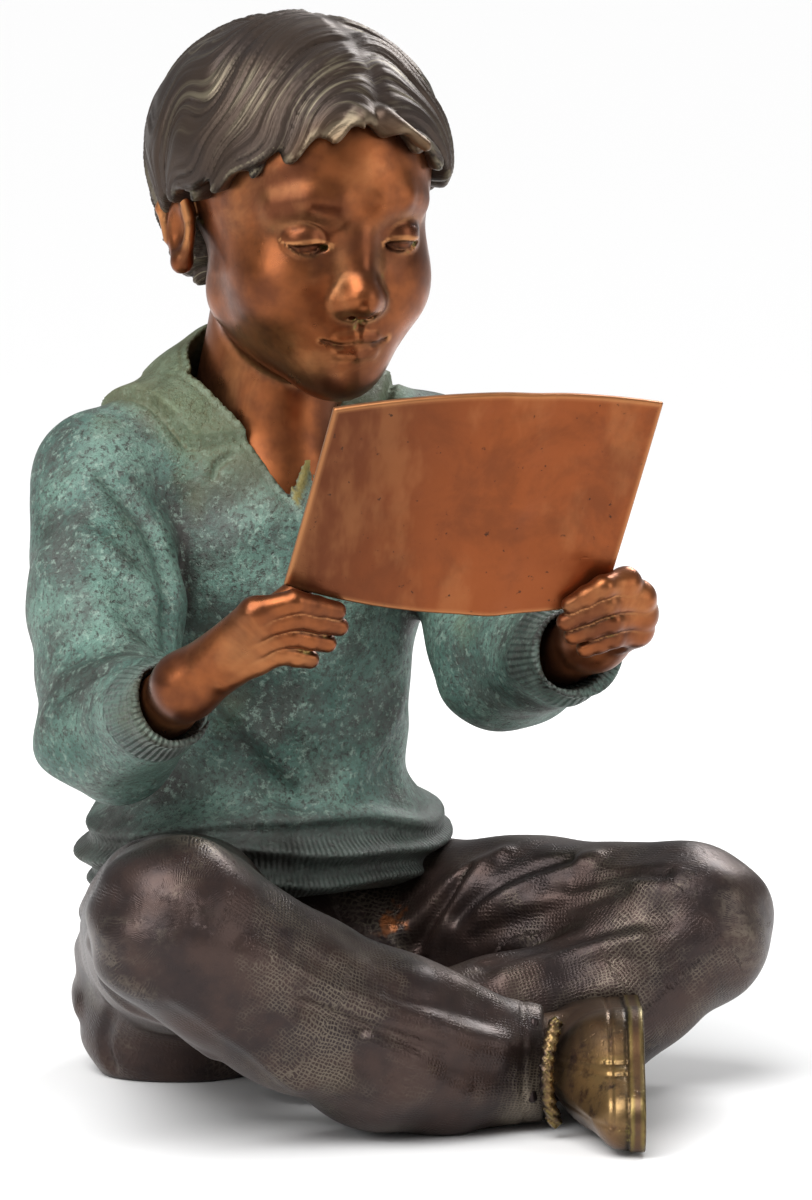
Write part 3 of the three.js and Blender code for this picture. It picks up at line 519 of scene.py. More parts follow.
SWEATER_FOLDS = (
    (5, -7, ((-128, -24, 362), (-115, -46, 336), (-114, -62, 308), (-125, -90, 270))),
    (4, -4, ((-195, -91, 247), (-187, -120, 262), (-181, -165, 276))),
    (6, 3, ((-154, -30, 336), (-143, -60, 314), (-128, -76, 296))),
    (7, 2.5, ((-168, -25, 313), (-170, -60, 292), (-148, -105, 269))),
    (7, -3, ((-56, -49, 210), (-45, -60, 185), (-25, -72, 162))),
    (8, 3, ((-80, -30, 250), (-62, -58, 215), (-30, -74, 185))),
    (8, 2.5, ((70, -60, 240), (40, -78, 200), (0, -84, 170))),
    (7, -3, ((92, -62, 292), (84, -60, 250), (70, -58, 215))),
    (6, -4, ((118, -66, 322), (112, -92, 300), (96, -116, 282))),
    (6, 3, ((136, -60, 330), (128, -90, 296), (106, -122, 274))),
    (5, -4, ((96, -168, 236), (84, -150, 276), (64, -170, 292))),
    (2.2, -4, ((-64, -38, 358), (-60, -37, 365), (-52, -40, 371))),
    (9, 3, ((-60, 66, 330), (-20, 74, 290), (30, 72, 262))),
    (8, -3, ((60, 62, 320), (20, 72, 270), (-30, 76, 230))),
    (9, 3, ((-90, 50, 250), (-40, 74, 205), (20, 78, 180))),
    (8, -2.5, ((94, 40, 240), (60, 70, 200), (10, 82, 170))),
)


def sweater_field(fold):
    hips = egg((-6, 2, 134), (110, 86, 54))
    trunk = egg((-2, -2, 232), (84, 70, 132), CHEST_TURN)
    chest = egg((-4, -6, 300), (91, 70, 84), CHEST_TURN)
    shoulders = limb(mix(SHOULDER_RIGHT, NECK_BASE, 0.2), mix(SHOULDER_LEFT, NECK_BASE, 0.2), 40)
    top = vec(NECK_BASE) + vec(0, 14, 20)
    yoke = joined(
        20,
        limb(top, vec(SHOULDER_RIGHT) + vec(18, 6, 14), 47, 30),
        limb(top, vec(SHOULDER_LEFT) + vec(-18, 6, 14), 47, 30),
    )
    body = joined(22, joined(26, hips, trunk, chest), shoulders, yoke)
    arms = joined(
        9,
        sleeve(SHOULDER_RIGHT, ELBOW_RIGHT, CUFF_RIGHT),
        sleeve(SHOULDER_LEFT, ELBOW_LEFT, CUFF_LEFT),
    )
    dressed = modelled(joined(10, body, arms), SWEATER_FOLDS, fold)

    def field(p):
        d = dressed(p)
        outer = d.copy()
        x, y, z = p.T
        turn = np.arctan2(x, -y)
        low = z - 4.2 * np.cos(turn * 2 + 1) - 2 * np.sin(turn * 5)
        near = np.abs(d) < 20
        for height, rise in HEM_GATHERS:
            band = bell(low - height - 3 * np.sin(turn * 3 + height), 5)
            d = d - np.where(near & (z < 175), rise * fold * band, 0)
        d[near] -= 1.1 * fold * ripples(p[near], 46, 3) * ramp(z[near], 120, 170)
        q = COLLAR.into(p)
        hole = neck_hole(q)
        lying = near & (q[:, 2] > -60)
        front_end = ramp(q[:, 1], -47, -42)
        d = d - np.where(lying, COLLAR_RISE * ramp(COLLAR_WIDTH - hole, 0, 2.4) * front_end, 0)
        seam = bell(hole - 4.5, 1.3) * 0.9 + bell(hole - COLLAR_WIDTH - 1.4, 1.8) * 2.6 * front_end
        d = d + np.where(lying & (hole > -4), seam, 0)
        stand = np.maximum(np.abs(hole + 1.5) - 3, np.abs(q[:, 2] + 4) - 9 - 0.06 * q[:, 1])
        d = soft_min(d, np.where(q[:, 1] > -30, stand, 20), 4)
        well = np.maximum(hole, -q[:, 2] - 12 - 10 * ramp(-q[:, 1], 0, 25))
        d = soft_max(d, -well, 1.6)
        zip_edge = np.hypot(hole + 1.5, outer + 1) - 2.8 - 0.5 * np.sin(z * 1.9)
        d = soft_min(d, np.where(near & (q[:, 0] > -2) & (q[:, 1] < -44), zip_edge, 9), 1)
        return soft_max(d, SWEATER_HEM + 4 * np.cos(turn * 2) - z, 6)

    return field


def sweater_marks(p):
    """Shares of ribbing, brass, hem and collar, and the coordinate across the ribs."""
    ribbing = np.zeros(len(p))
    across = np.zeros(len(p))
    for elbow, cuff in ((ELBOW_RIGHT, CUFF_RIGHT), (ELBOW_LEFT, CUFF_LEFT)):
        axis = unit(vec(cuff) - vec(elbow))
        q = p - vec(cuff)
        along = q @ axis
        off = np.linalg.norm(q - along[:, None] * axis, axis=1)
        here = ramp(along, -RIBBING - 1, -RIBBING + 2) * (off < CUFF_RADIUS + 14)
        ribbing = np.maximum(ribbing, here)
        across = np.where(here > 0, angle_round(axis, q) * CUFF_RADIUS, across)
    turn = np.arctan2(p[:, 0], -p[:, 1])
    trunk = np.hypot(p[:, 0], p[:, 1]) < WAIST_REACH
    across = np.where(ribbing > 0, across, turn * 96)
    ribbing = np.maximum(ribbing, 0.45 * ramp(-p[:, 2], -150, -138) * trunk)
    q = COLLAR.into(p)
    hole = neck_hole(q)
    return {
        "ribbing": ribbing,
        "across": across,
        "brass": (1 - ramp(np.abs(hole + 1), 1.8, 3)) * (q[:, 0] > -2) * (q[:, 1] < -44) * (q[:, 2] > -40),
        "hem": np.maximum(ramp(-p[:, 2], -172, -140) * trunk, 0.6 * ribbing),
        "collar": (1 - ramp(hole, COLLAR_WIDTH - 3, COLLAR_WIDTH + 22)) * ramp(p[:, 2], 325, 385),
    }


# Trousers
TROUSER_FOLDS = (
    (8, 8, ((-169, -256, 119), (-123, -268, 94), (-82, -278, 76), (-20, -280, 54))),
    (6, 3.5, ((-102, -276, 66), (-78, -281, 50), (-46, -277, 31))),
    (5, -3, ((-140, -262, 88), (-100, -272, 72), (-60, -280, 58))),
    (6, 3, ((-206, -238, 97), (-180, -240, 75), (-133, -246, 39))),
    (4, -3, ((-137, -38, 51), (-124, -12, 28), (-117, -11, 10))),
    (6, -5, ((-216, -150, 108), (-196, -130, 84), (-176, -150, 52))),
    (6, 4, ((-222, -160, 86), (-204, -170, 60), (-178, -196, 36))),
    (6, 4, ((54, -92, 73), (60, -100, 94), (81, -106, 121))),
    (6, 3.5, ((43, -76, 85), (62, -90, 108), (93, -109, 129))),
    (4, -4.5, ((49, -84, 77), (60, -95, 98), (76, -101, 120))),
    (5, -3.5, ((64, -106, 94), (92, -133, 121), (112, -150, 131))),
    (6, 3, ((72, -120, 98), (101, -143, 124), (122, -160, 132))),
    (5, -3, ((68, -119, 84), (92, -159, 104), (120, -196, 119))),
    (5, -3, ((104, -164, 120), (120, -186, 126), (136, -214, 129))),
    (8, 4, ((40, -192, 76), (72, -200, 84), (112, -222, 97))),
    (7, -3, ((37, -176, 82), (80, -188, 90), (124, -226, 105))),
    (2.2, -2.4, ((27, -59, 104), (21, -68, 93), (17, -78, 82))),
    (8, 3, ((-130, 20, 96), (-128, -50, 116), (-150, -110, 138))),
    (6, -3, ((-112, 40, 80), (-122, -20, 100), (-140, -80, 122))),
    (8, 3, ((110, 30, 92), (126, -40, 108), (150, -110, 118))),
    (7, -3, ((60, 80, 60), (100, 50, 50), (128, 0, 60))),
    (7, 3, ((-60, 84, 70), (-100, 56, 50), (-124, 20, 40))),
    (7, -3, ((-20, 92, 84), (-10, 98, 50), (-14, 96, 20))),
)


def trousers_field(fold):
    seat = egg((-2, 6, 56), (108, 92, 68))
    buttock = limb((-68, 2, 36), (-64, 2, 66), 58)
    thigh_right = limb(HIP_RIGHT, KNEE_RIGHT, THIGH_RADIUS, KNEE_RADIUS)
    left_radii = (THIGH_RADIUS - 5, KNEE_RADIUS + 1, KNEE_RADIUS - 1)
    thigh_left = chain((HIP_LEFT, THIGH_LEFT, KNEE_LEFT), left_radii, 20)
    shin_right = chain(
        (KNEE_RIGHT, *CALF_RIGHT, ANKLE_RIGHT),
        (KNEE_RADIUS, KNEE_RADIUS - 2, KNEE_RADIUS, KNEE_RADIUS - 7, HEM_RADIUS),
        12,
    )
    shin_left = chain((KNEE_LEFT, CALF_LEFT, ANKLE_LEFT), (KNEE_RADIUS - 1, KNEE_RADIUS - 9, 37), 12)
    legs = joined(7, joined(14, seat, buttock, thigh_right, thigh_left), shin_right, shin_left)
    folded = modelled(legs, TROUSER_FOLDS, fold)
    leg_hollow = limb((-14, -240, 36), (60, -260, 32), HEM_RADIUS - 6)

    def field(p):
        d = folded(p)
        near = np.abs(d) < 16
        d[near] -= 0.9 * fold * ripples(p[near], 38, 5)
        across = (p - SIDE.out((HEM_ACROSS, 0, 0))) @ SIDE.left
        of_shin = shin_right(p) < d + 3
        groove = bell(across + HEM_STITCH, 1.3)
        d = np.where(of_shin & near, d + 1.2 * groove, d)
        shin = of_shin & (-(p @ SIDE.back) > 168)
        cut = soft_max(soft_max(d, across, 3), -leg_hollow(p), 2)
        return np.where(shin, cut, d)

    return field


def leg_coordinates(p):
    """Millimetres round and along the nearest leg, for the weave."""
    legs = (
        ((-2, 30, 70), HIP_RIGHT, KNEE_RIGHT, *CALF_RIGHT, ANKLE_RIGHT),
        ((2, 30, 70), HIP_LEFT, THIGH_LEFT, KNEE_LEFT, CALF_LEFT, ANKLE_LEFT),
    )
    best = np.full(len(p), 1e9)
    at = np.zeros((len(p), 3))
    for number, leg in enumerate(legs):
        start = 300.0 * number
        for a, b in zip(leg, leg[1:]):
            a, span = vec(a), vec(b) - vec(a)
            length = np.linalg.norm(span)
            axis = span / length
            t = np.clip((p - a) @ axis / length, 0, 1)
            q = p - a - t[:, None] * span
            off = np.linalg.norm(q, axis=1)
            closer = off < best
            best = np.where(closer, off, best)
            round_leg = angle_round(axis, q, (0.1, 0, 1)) * KNEE_RADIUS
            at[closer] = np.stack([round_leg, start + t * length, off], 1)[closer]
            start += length
    return at


# Shoes: an upper and a flat sole, in a frame with x out of the sole, y to the back and z up
HEEL = (-152, 36, 29)
TREAD = (-230, 37, 33)
TOE = (-286, 21, 18)


def shoe_field(heel, tread, toe):
    places = (heel, tread, toe)
    plan = chain([(0, y, z) for y, z, _ in places], [r + 1 for _, _, r in places], 12)
    sock = limb((-40, heel[0] - 24, heel[1]), (-84, heel[0] - 42, heel[1] - 2), 26, 24)
    ruffle = curve_through(((-50, -236, 66), (-55, -250, 46), (-54, -250, 24), (-50, -240, 10)))
    lining = curve_through(((-62, -222, 64), (-64, -232, 44), (-63, -232, 22)))

    def upper(p, flat):
        """Flush with the sole, and rounded off as high as the foot stands."""
        top = 20 + 20 * ramp(p[:, 1], -305, -225) + 15 * ramp(p[:, 1], -235, -140)
        depth = np.maximum(-p[:, 0] - SOLE_THICKNESS, 0)
        return soft_max(0.8 * (flat + 1 + 22 * (depth / top) ** 3), p[:, 0] + SOLE_THICKNESS - 2, 1.2)

    def field(p):
        flat = plan(p * vec(0, 1, 1))
        d = upper(p, flat)
        near = np.abs(d) < 8
        x, y, z = p.T
        seams = sum(depth * bell(z - height - lean * x, width) for height, lean, depth, width in SHOE_SEAMS)
        seams = seams * ramp(-y, 225, 240) + 0.8 * bell(x + 19, 1) * ramp(z, 12, 20)
        swell = 1.6 * bell(z - 33, 9) * bell(x + 30, 14) * ramp(-y, 225, 250)
        d = d + np.where(near, seams - swell, 0)
        d = d + 0.8 * bell(x + SOLE_THICKNESS, 0.9) * near
        sole = soft_max(flat, np.abs(x + SOLE_THICKNESS / 2) - SOLE_THICKNESS / 2, 1.6)
        tread_lines = 0.8 * ramp(np.sin(y * 0.9), 0.2, 0.8) * (np.abs(x) < 2) * (flat < -4)
        braid = distance_to(ruffle, p) - 4 - 0.5 * np.sin(z * 1.1 + x) - 0.4 * np.sin(z * 2.3 - 2 * x)
        edge = distance_to(lining, p) - 3
        d = soft_min(soft_min(d, sole + np.where(np.abs(sole) < 3, tread_lines, 0), 0.8), sock(p), 3)
        return soft_min(soft_min(d, edge, 2), braid, 1.5)

    return in_frame(SHOE, field)


def shoes_field():
    left_foot = chain(((10, 30, 34), (0, -25, 30), (0, -70, 22)), (28, 28, 20), 10)
    left = in_frame(Frame((-20, -140, 0), 70), left_foot)
    right = shoe_field(HEEL, TREAD, TOE)
    return lambda p: np.minimum(right(p), left(p))


def shoe_marks(p):
    q = SHOE.into(p)
    sock = 1 - ramp(q[:, 0], -59, -55)
    lace = bell(q[:, 0] + 52, 4.5) * ramp(-q[:, 1], 236, 246)
    plate = bell(q[:, 2] - 38, 20) * bell(q[:, 0] + 26, 17) * ramp(-q[:, 1], 215, 250)
    return {"sock": sock, "brass": np.maximum(0.85 * plate, 0.5 * lace)}


# Hands hold the sheet's edge: fingers on the front face, thumb on the back
def hand_field(side, wrist, cuff, elbow, knuckles, bends, tips, thumb):
    def front(place, reach=SHEET_THICKNESS / 2 + FINGER_RADIUS - 0.6):
        across, up, out = place
        return on_sheet(side * (SHEET_WIDTH / 2 + across), up - SHEET_HEIGHT / 2, reach + out)

    def back(place):
        return front(place, 0.6 - SHEET_THICKNESS / 2 - FINGER_RADIUS)

    wrist = vec(wrist)
    heads = [front(k) for k in knuckles]
    bones = [limb(wrist, at, WRIST_RADIUS - 3, 8.3) for at in heads]
    tendons = [limb(mix(wrist, at, 0.45) + SHEET_OUT * 12, at + SHEET_OUT * 5.5, 2.2, 3) for at in heads]
    palm = joined(6, joined(9, *bones), *tendons)
    fingers = []
    for root, bend, tip in zip(heads, bends, tips):
        middle, end = front(bend), front(tip)
        last = mix(middle, end, 0.52)
        radii = (8, FINGER_RADIUS + 0.7, FINGER_RADIUS, FINGER_RADIUS - 0.8)
        fingers.append(chain((root, middle, last, end), radii, 1.6))
    thumb_bone = chain((wrist, back(thumb[0]), back(thumb[1])), (WRIST_RADIUS - 3, 9, 7), 4)
    forearm = limb(wrist, mix(cuff, elbow, 0.16), WRIST_RADIUS, WRIST_RADIUS + 2)
    return joined(5, joined(9, palm, thumb_bone, forearm), joined(1.2, *fingers))


def hand_right():
    return hand_field(
        -1,
        vec(CUFF_RIGHT) + vec(-3, -18, 12),
        CUFF_RIGHT,
        ELBOW_RIGHT,
        ((15, -5, 2), (14, -14, 2), (10, -25, 1), (6, -36, 0)),
        ((-4, 5, 5), (-8, -5, 5), (-8, -17, 4), (-6, -29, 3)),
        ((-31, -2, 0), (-35, -12, 0), (-31, -23, 0), (-24, -34, 0)),
        ((6, -22, 2), (-14, 6, 0)),
    )


def hand_left():
    return hand_field(
        1,
        vec(CUFF_LEFT) + vec(4, -14, 10),
        CUFF_LEFT,
        ELBOW_LEFT,
        ((8, 16, -3), (20, 6, -3), (25, -6, -4), (26, -18, -6)),
        ((-8, 18, 5), (-3, 8, 6), (3, -4, 6), (8, -15, 4)),
        ((-22, 4, 0), (-22, -7, 0), (-15, -16, 0), (-5, -25, 0)),
        ((16, -12, 0), (-14, 8, 0)),
    )


# Meshing: samples near the surface in blocks, then one vertex to each cell that it crosses
def sampled(field, low, high, step):
    blocks = np.ceil((vec(high) - vec(low)) / (BLOCK * step)).astype(int)
    corner = np.stack(np.meshgrid(*[np.arange(n) for n in blocks], indexing="ij"), -1).reshape(-1, 3)
    origin = vec(low) + corner * BLOCK * step
    middle = field(origin + (BLOCK - 1) * step / 2)
    near = np.flatnonzero(np.abs(middle) < BLOCK * step * 1.25 + 9)
    inner = np.stack(np.meshgrid(*[np.arange(BLOCK)] * 3, indexing="ij"), -1).reshape(-1, 3) * step
    values = np.repeat(middle[:, None], BLOCK**3, axis=1).astype(np.float32)
    for some in np.array_split(near, max(1, len(near) // 1500)):
        points = (origin[some][:, None, :] + inner[None]).reshape(-1, 3)
        values[some] = field(points).reshape(len(some), -1)
    values = values.reshape(*blocks, BLOCK, BLOCK, BLOCK).transpose(0, 3, 1, 4, 2, 5)
    values = np.ascontiguousarray(values.reshape(blocks * BLOCK))
    for axis in range(3):
        rim = np.moveaxis(values, axis, 0)
        rim[0] = np.maximum(rim[0], 0.1)
        rim[-1] = np.maximum(rim[-1], 0.1)
    return values


def surface_of(values, low, step):
    inside = values < 0
    shape = np.array(values.shape) - 1
    corners = list(itertools.product((0, 1), repeat=3))

    def corner_view(array, c):
        return array[c[0]:c[0] + shape[0], c[1]:c[1] + shape[1], c[2]:c[2] + shape[2]]

    total = sum(corner_view(inside, c).astype(np.int8) for c in corners)
    cells = np.argwhere((total > 0) & (total < 8))
    at_corner = {c: values[tuple((cells + c).T)] for c in corners}
    place = np.zeros((len(cells), 3))
    count = np.zeros(len(cells))
    for a, b in itertools.combinations(corners, 2):
        if sum(abs(i - j) for i, j in zip(a, b)) != 1:
            continue
        crossing = (at_corner[a] < 0) != (at_corner[b] < 0)
        t = at_corner[a] / np.where(crossing, at_corner[a] - at_corner[b], 1)
        place += np.where(crossing[:, None], vec(a) + t[:, None] * (vec(b) - vec(a)), 0)
        count += crossing
    vertices = vec(low) + (cells + place / count[:, None]) * step
    number = np.full(shape, -1)
    number[tuple(cells.T)] = np.arange(len(cells))
    quads = []
    for axis in range(3):
        first, second = (axis + 1) % 3, (axis + 2) % 3
        along = np.eye(3, dtype=int)[axis]
        start = np.argwhere(np.diff(inside.astype(np.int8), axis=axis) != 0)
        start = start[(start[:, first] > 0) & (start[:, second] > 0)]
        start = start[(start[:, first] < shape[first]) & (start[:, second] < shape[second])]
        ring = []
        for i, j in ((-1, -1), (0, -1), (0, 0), (-1, 0)):
            cell = start.copy()
            cell[:, first] += i
            cell[:, second] += j
            ring.append(number[tuple(cell.T)])
        faces = np.stack(ring, 1)
        leaving = inside[tuple(start.T)] & ~inside[tuple((start + along).T)]
        quads.append(np.where(leaving[:, None], faces, faces[:, ::-1]))
    return vertices, np.concatenate(quads)


def outward(vertices, quads):
    """Unit normal at each vertex, from the faces round it."""
    a, b, c, d = (vertices[quads[:, i]] for i in range(4))
    facing = np.cross(c - a, d - b)
    shares = (np.bincount(quads.ravel(), np.repeat(facing[:, i], 4), len(vertices)) for i in range(3))
    total = np.stack(list(shares), 1)
    return total / np.maximum(np.linalg.norm(total, axis=1, keepdims=True), 1e-9)


def settled(field, vertices, quads, step):
    """Vertices moved onto the surface, at most about half a cell."""
    for _ in range(2):
        shift = np.clip(field(vertices), -0.35 * step, 0.35 * step)
        vertices = vertices - shift[:, None] * outward(vertices, quads)
    return vertices


class PaintedShade:
    """The whole figure sampled once, to find what stands close over a place, for the painted shade there."""

    def __init__(self, fields):
        low, high = PAINTED_SHADE_BOX
        self.low = vec(low)
        self.values = sampled(lambda p: np.min([f(p) for f in fields], axis=0), low, high, PAINTED_SHADE_CELL)

    def over(self, p, normal):
        at = (p + normal * PAINTED_SHADE_REACH - self.low) / PAINTED_SHADE_CELL
        at = np.clip(at, 0, np.array(self.values.shape) - 1.001)
        cell = at.astype(int)
        part = at - cell
        found = np.zeros(len(p))
        for corner in itertools.product((0, 1), repeat=3):
            weight = np.prod(np.where(corner, part, 1 - part), axis=1)
            found += weight * self.values[tuple((cell + corner).T)]
        return 1 - np.clip(found / PAINTED_SHADE_REACH, 0, 1)


# How far the figure's frame stands from the part's frame
def placing():
    low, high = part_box("reading_sheet")
    outline = sheet_grid(24, 16)[0]
    middle = (outline.min(0) + outline.max(0)) / 2
    offset = vec((low + high) / 2) - middle * MM
    return vec(offset[0], offset[1], 0)


def sheet_grid(columns, rows):
    """Front and back faces of the sheet, closed round a rounded rim."""
    half_width, half_height, half = SHEET_WIDTH / 2, SHEET_HEIGHT / 2, SHEET_THICKNESS / 2
    layers = ((1.2, -half), (0.25, -half + 0.5), (0, 0), (0.25, half - 0.5), (1.2, half))
    a, b = np.meshgrid(np.linspace(-1, 1, columns + 1), np.linspace(-1, 1, rows + 1))
    a, b = a.ravel(), b.ravel()

    def places(inset, out):
        bulge = EDGE_BULGE * (1 - a * a) * b
        up = b * (half_height - inset - EDGE_BULGE / 2) * (1 + 0.07 * a)
        return on_sheet(a * (half_width - inset), up + bulge, out)

    front, back = places(*layers[-1]), places(*layers[0])
    ring = columns + 1
    rim = [*range(ring), *[r * ring + columns for r in range(1, rows)]]
    rim += [*range(rows * ring + columns, rows * ring - 1, -1), *[r * ring for r in range(rows - 1, 0, -1)]]
    vertices = [back, *[places(inset, out)[rim] for inset, out in layers[1:-1]], front]
    face = ring * (rows + 1)
    loops = [np.array(rim)] + [face + np.arange(len(rim)) + len(rim) * i for i in range(3)]
    loops.append(face + 3 * len(rim) + np.array(rim))
    corner = (np.arange(rows)[:, None] * ring + np.arange(columns)).ravel()
    quad = np.stack([corner, corner + 1, corner + ring + 1, corner + ring], 1)
    faces = [quad[:, ::-1], quad + face + 3 * len(rim)]
    for under, over in zip(loops, loops[1:]):
        faces.append(np.stack([under, np.roll(under, -1), np.roll(over, -1), over], 1))
    at = np.stack([a, b], 1)
    return np.concatenate(vertices), np.concatenate(faces), np.concatenate([at, *[at[rim]] * 3, at])


# Blender objects
def new_piece(name, vertices, quads, marks, finish):
    mesh = bpy.data.meshes.new(name)
    mesh.vertices.add(len(vertices))
    mesh.vertices.foreach_set("co", (vertices * MM + placing()).astype(np.float32).ravel())
    mesh.loops.add(quads.size)
    mesh.loops.foreach_set("vertex_index", quads.astype(np.int32).ravel())
    mesh.polygons.add(len(quads))
    mesh.polygons.foreach_set("loop_start", np.arange(0, quads.size, 4, dtype=np.int32))
    mesh.update(calc_edges=True)
    mesh.validate()
    mesh.polygons.foreach_set("use_smooth", np.ones(len(mesh.polygons), bool))
    for key, values in marks.items():
        flat = values.ndim == 1
        layer = mesh.attributes.new(key, "FLOAT" if flat else "FLOAT_VECTOR", "POINT")
        layer.data.foreach_set("value" if flat else "vector", values.astype(np.float32).ravel())
    mesh.materials.append(finish)
    piece = bpy.data.objects.new(name, mesh)
    bpy.context.collection.objects.link(piece)
    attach(piece, BODY)
    return piece


FIGURE = {}


def figure_fields(shape):
    """Every region of the casting, and the painted shade that they cast on each other, made once."""
    if FIGURE:
        return FIGURE
    fields = {
        "head": head_field(),
        "hair": hair_field(shape.lock_depth / MM),
        "sweater": sweater_field(shape.fold_depth),
        "trousers": trousers_field(shape.fold_depth),
        "hand_right": hand_right(),
        "hand_left": hand_left(),
        "shoes": shoes_field(),
    }
    FIGURE.update(fields, shelter=PaintedShade(fields.values()))
    return FIGURE


# Each region's box, and its mesh size as a share of the shoes'
REGIONS = {
    "head": ((-100, -150, 335), (100, 80, 600), 1.14),
    "hair": ((-110, -150, 420), (110, 85, 645), 1.09),
    "sweater": ((-222, -300, 95), (165, 100, 440), 1.81),
    "trousers": ((-250, -312, -8), (230, 115, 190), 1.81),
    "hand_right": ((-220, -345, 210), (-90, -160, 370), 0.85),
    "hand_left": ((-20, -385, 215), (115, -225, 385), 0.85),
    "shoes": ((-160, -390, -8), (150, -50, 95), 1),
}


def cast_region(context, name, marks):
    """Meshes one region, cut flat at the ground, and measures its recesses, worn highs and painted shade."""
    shape = context.scene.reading_boy
    fields = figure_fields(shape)
    field = fields[name]
    low, high, share = REGIONS[name]
    step = share * shape.fine_cell / MM
    step *= 1

    def grounded(p):
        return soft_max(field(p), -p[:, 2], 1.2)

    vertices, quads = surface_of(sampled(grounded, low, high, step), low, step)
    vertices = settled(grounded, vertices, quads, step)
    vertices[:, 2] = np.maximum(vertices[:, 2], 0)
    normal = outward(vertices, quads)
    found = {
        "recess": 1 - np.clip(field(vertices + normal * 2.5) / 2.5, 0, 1),
        "wear": 1 - np.clip(-field(vertices - normal * 4) / 4, 0, 1),
        # Painted shade: how closely the rest of the figure stands over each vertex
        "shelter": fields["shelter"].over(vertices, normal),
    }
    found.update(marks(vertices))
    return vertices, quads, found


# Shader nodes
class Wire:
    """An output socket, and the sums that are made with it."""

    def __init__(self, net, socket):
        self.net = net
        self.socket = socket

    def calc(self, operation, other=0):
        return self.net.out("ShaderNodeMath", {0: self, 1: other}, operation=operation)

    def __add__(self, other):
        return self.calc("ADD", other)

    def __sub__(self, other):
        return self.calc("SUBTRACT", other)

    def __mul__(self, other):
        return self.calc("MULTIPLY", other)

    def span(self, low, high, to_low=0, to_high=1):
        """A smooth step from to_low at low to to_high at high."""
        values = {"Value": self, "From Min": low, "From Max": high, "To Min": to_low, "To Max": to_high}
        return self.net.out("ShaderNodeMapRange", values, interpolation_type="SMOOTHSTEP")


class Net:
    """A node tree, and the nodes that the finishes are made of."""

    def __init__(self, tree):
        self.tree = tree

    def plug(self, value, socket):
        if isinstance(value, Wire):
            self.tree.links.new(value.socket, socket)
        else:
            socket.default_value = (*value, 1) if socket.type == "RGBA" else value

    def node(self, kind, inputs=(), **settings):
        made = self.tree.nodes.new(kind)
        for key, value in settings.items():
            setattr(made, key, value)
        for key, value in dict(inputs).items():
            self.plug(value, made.inputs[key])
        return made

    def out(self, kind, inputs=(), output=0, **settings):
        return Wire(self, self.node(kind, inputs, **settings).outputs[output])

    def tint(self, share, a, b):
        return self.out("ShaderNodeMix", {0: share, 6: a, 7: b}, 2, data_type="RGBA")

    def noise(self, scale, detail, rough, distortion=0, at=None):
        at = at or self.out("ShaderNodeTexCoord", output="Object")
        keys = ("Vector", "Scale", "Detail", "Roughness", "Distortion")
        return self.out("ShaderNodeTexNoise", zip(keys, (at, scale, detail, rough, distortion)), "Fac")

    def mark(self, name, output="Fac"):
        return self.out("ShaderNodeAttribute", output=output, attribute_name=name)

    def stretched(self, at, factors):
        return self.out("ShaderNodeVectorMath", {0: at, 1: factors}, operation="MULTIPLY")

    def placed(self, group, inputs):
        made = self.node("ShaderNodeGroup", inputs, node_tree=group)
        return {socket.name: Wire(self, socket) for socket in made.outputs}


def group_of(name, inputs, outputs, fill):
    """A node group with named sockets, built once; an input's value is its type or its number."""
    if name in bpy.data.node_groups:
        return bpy.data.node_groups[name]
    tree = bpy.data.node_groups.new(name, "ShaderNodeTree")
    for key, value in inputs.items():
        kind = value if isinstance(value, str) else NUMBER
        socket = tree.interface.new_socket(key, in_out="INPUT", socket_type=kind)
        if kind == NUMBER:
            socket.default_value = value
    for key, kind in outputs.items():
        tree.interface.new_socket(key, in_out="OUTPUT", socket_type=kind)
    net = Net(tree)
    given = {socket.name: Wire(net, socket) for socket in net.node("NodeGroupInput").outputs if socket.name}
    net.node("NodeGroupOutput", fill(net, given))
    return tree


COLOUR, NUMBER, PLACE = "NodeSocketColor", "NodeSocketFloat", "NodeSocketVector"
PATINA_COLOURS = ("Body", "Second", "Rubbed", "Recess", "Salts")


def patina(net, colours, rub_from, rub_to, residue, rub=0.6, darkness=1):
    """Chemical colour over bronze: dark in recesses, rubbed on the highs, with residue in hollows, and
    painted shade where other parts of the figure stand close.
    """

    def fill(net, given):
        recess, wear, shelter = (net.mark(name) for name in ("recess", "wear", "shelter"))
        broad = net.noise(22, 4, 0.6)
        fine = net.noise(260, 3, 0.6)
        colour = net.tint(broad.span(0.36, 0.64), given["Body"], given["Second"])
        high = (wear + (broad - 0.5) * 0.35).span(given["Rub From"], given["Rub To"]) * given["Rub"]
        colour = net.tint(high, colour, given["Rubbed"])
        oxide_and_painted_shade = (recess + (fine - 0.5) * 0.3).span(0.06, 0.42)
        # Painted shade: the recess colour also goes where other parts of the figure stand close over the
        # surface, as under the jaw and between sleeve and body
        oxide_and_painted_shade = oxide_and_painted_shade.calc("MAXIMUM", shelter.span(0.4, 1, 0, 0.75)) * given["Darkness"]
        colour = net.tint(oxide_and_painted_shade, colour, given["Recess"])
        spots = net.noise(75, 3, 0.7).span(0.56, 0.68) * given["Residue"]
        return {"Colour": net.tint(spots * recess.span(0.16, 0.45), colour, given["Salts"]), "High": high}

    values = {"Rub": rub, "Rub From": rub_from, "Rub To": rub_to, "Residue": residue, "Darkness": darkness}
    inputs = {**dict.fromkeys(PATINA_COLOURS, COLOUR), **values}
    group = group_of("Bronze patina", inputs, {"Colour": COLOUR, "High": NUMBER}, fill)
    return net.placed(group, {**dict(zip(PATINA_COLOURS, colours)), **values})


def cast_height(net, soft, grain, pits):
    """Height of the cast skin: soft hammering, pits and small scratches."""

    def fill(net, given):
        height = net.noise(90, 3, 0.5) * given["Soft"] + net.noise(700, 3, 0.6) * given["Grain"]
        return {"Height": height - net.noise(330, 2, 0.5).span(0.62, 0.76) * given["Pits"]}

    amounts = {"Soft": soft, "Grain": grain, "Pits": pits}
    return net.placed(group_of("Cast skin", amounts, {"Height": NUMBER}, fill), amounts)["Height"]


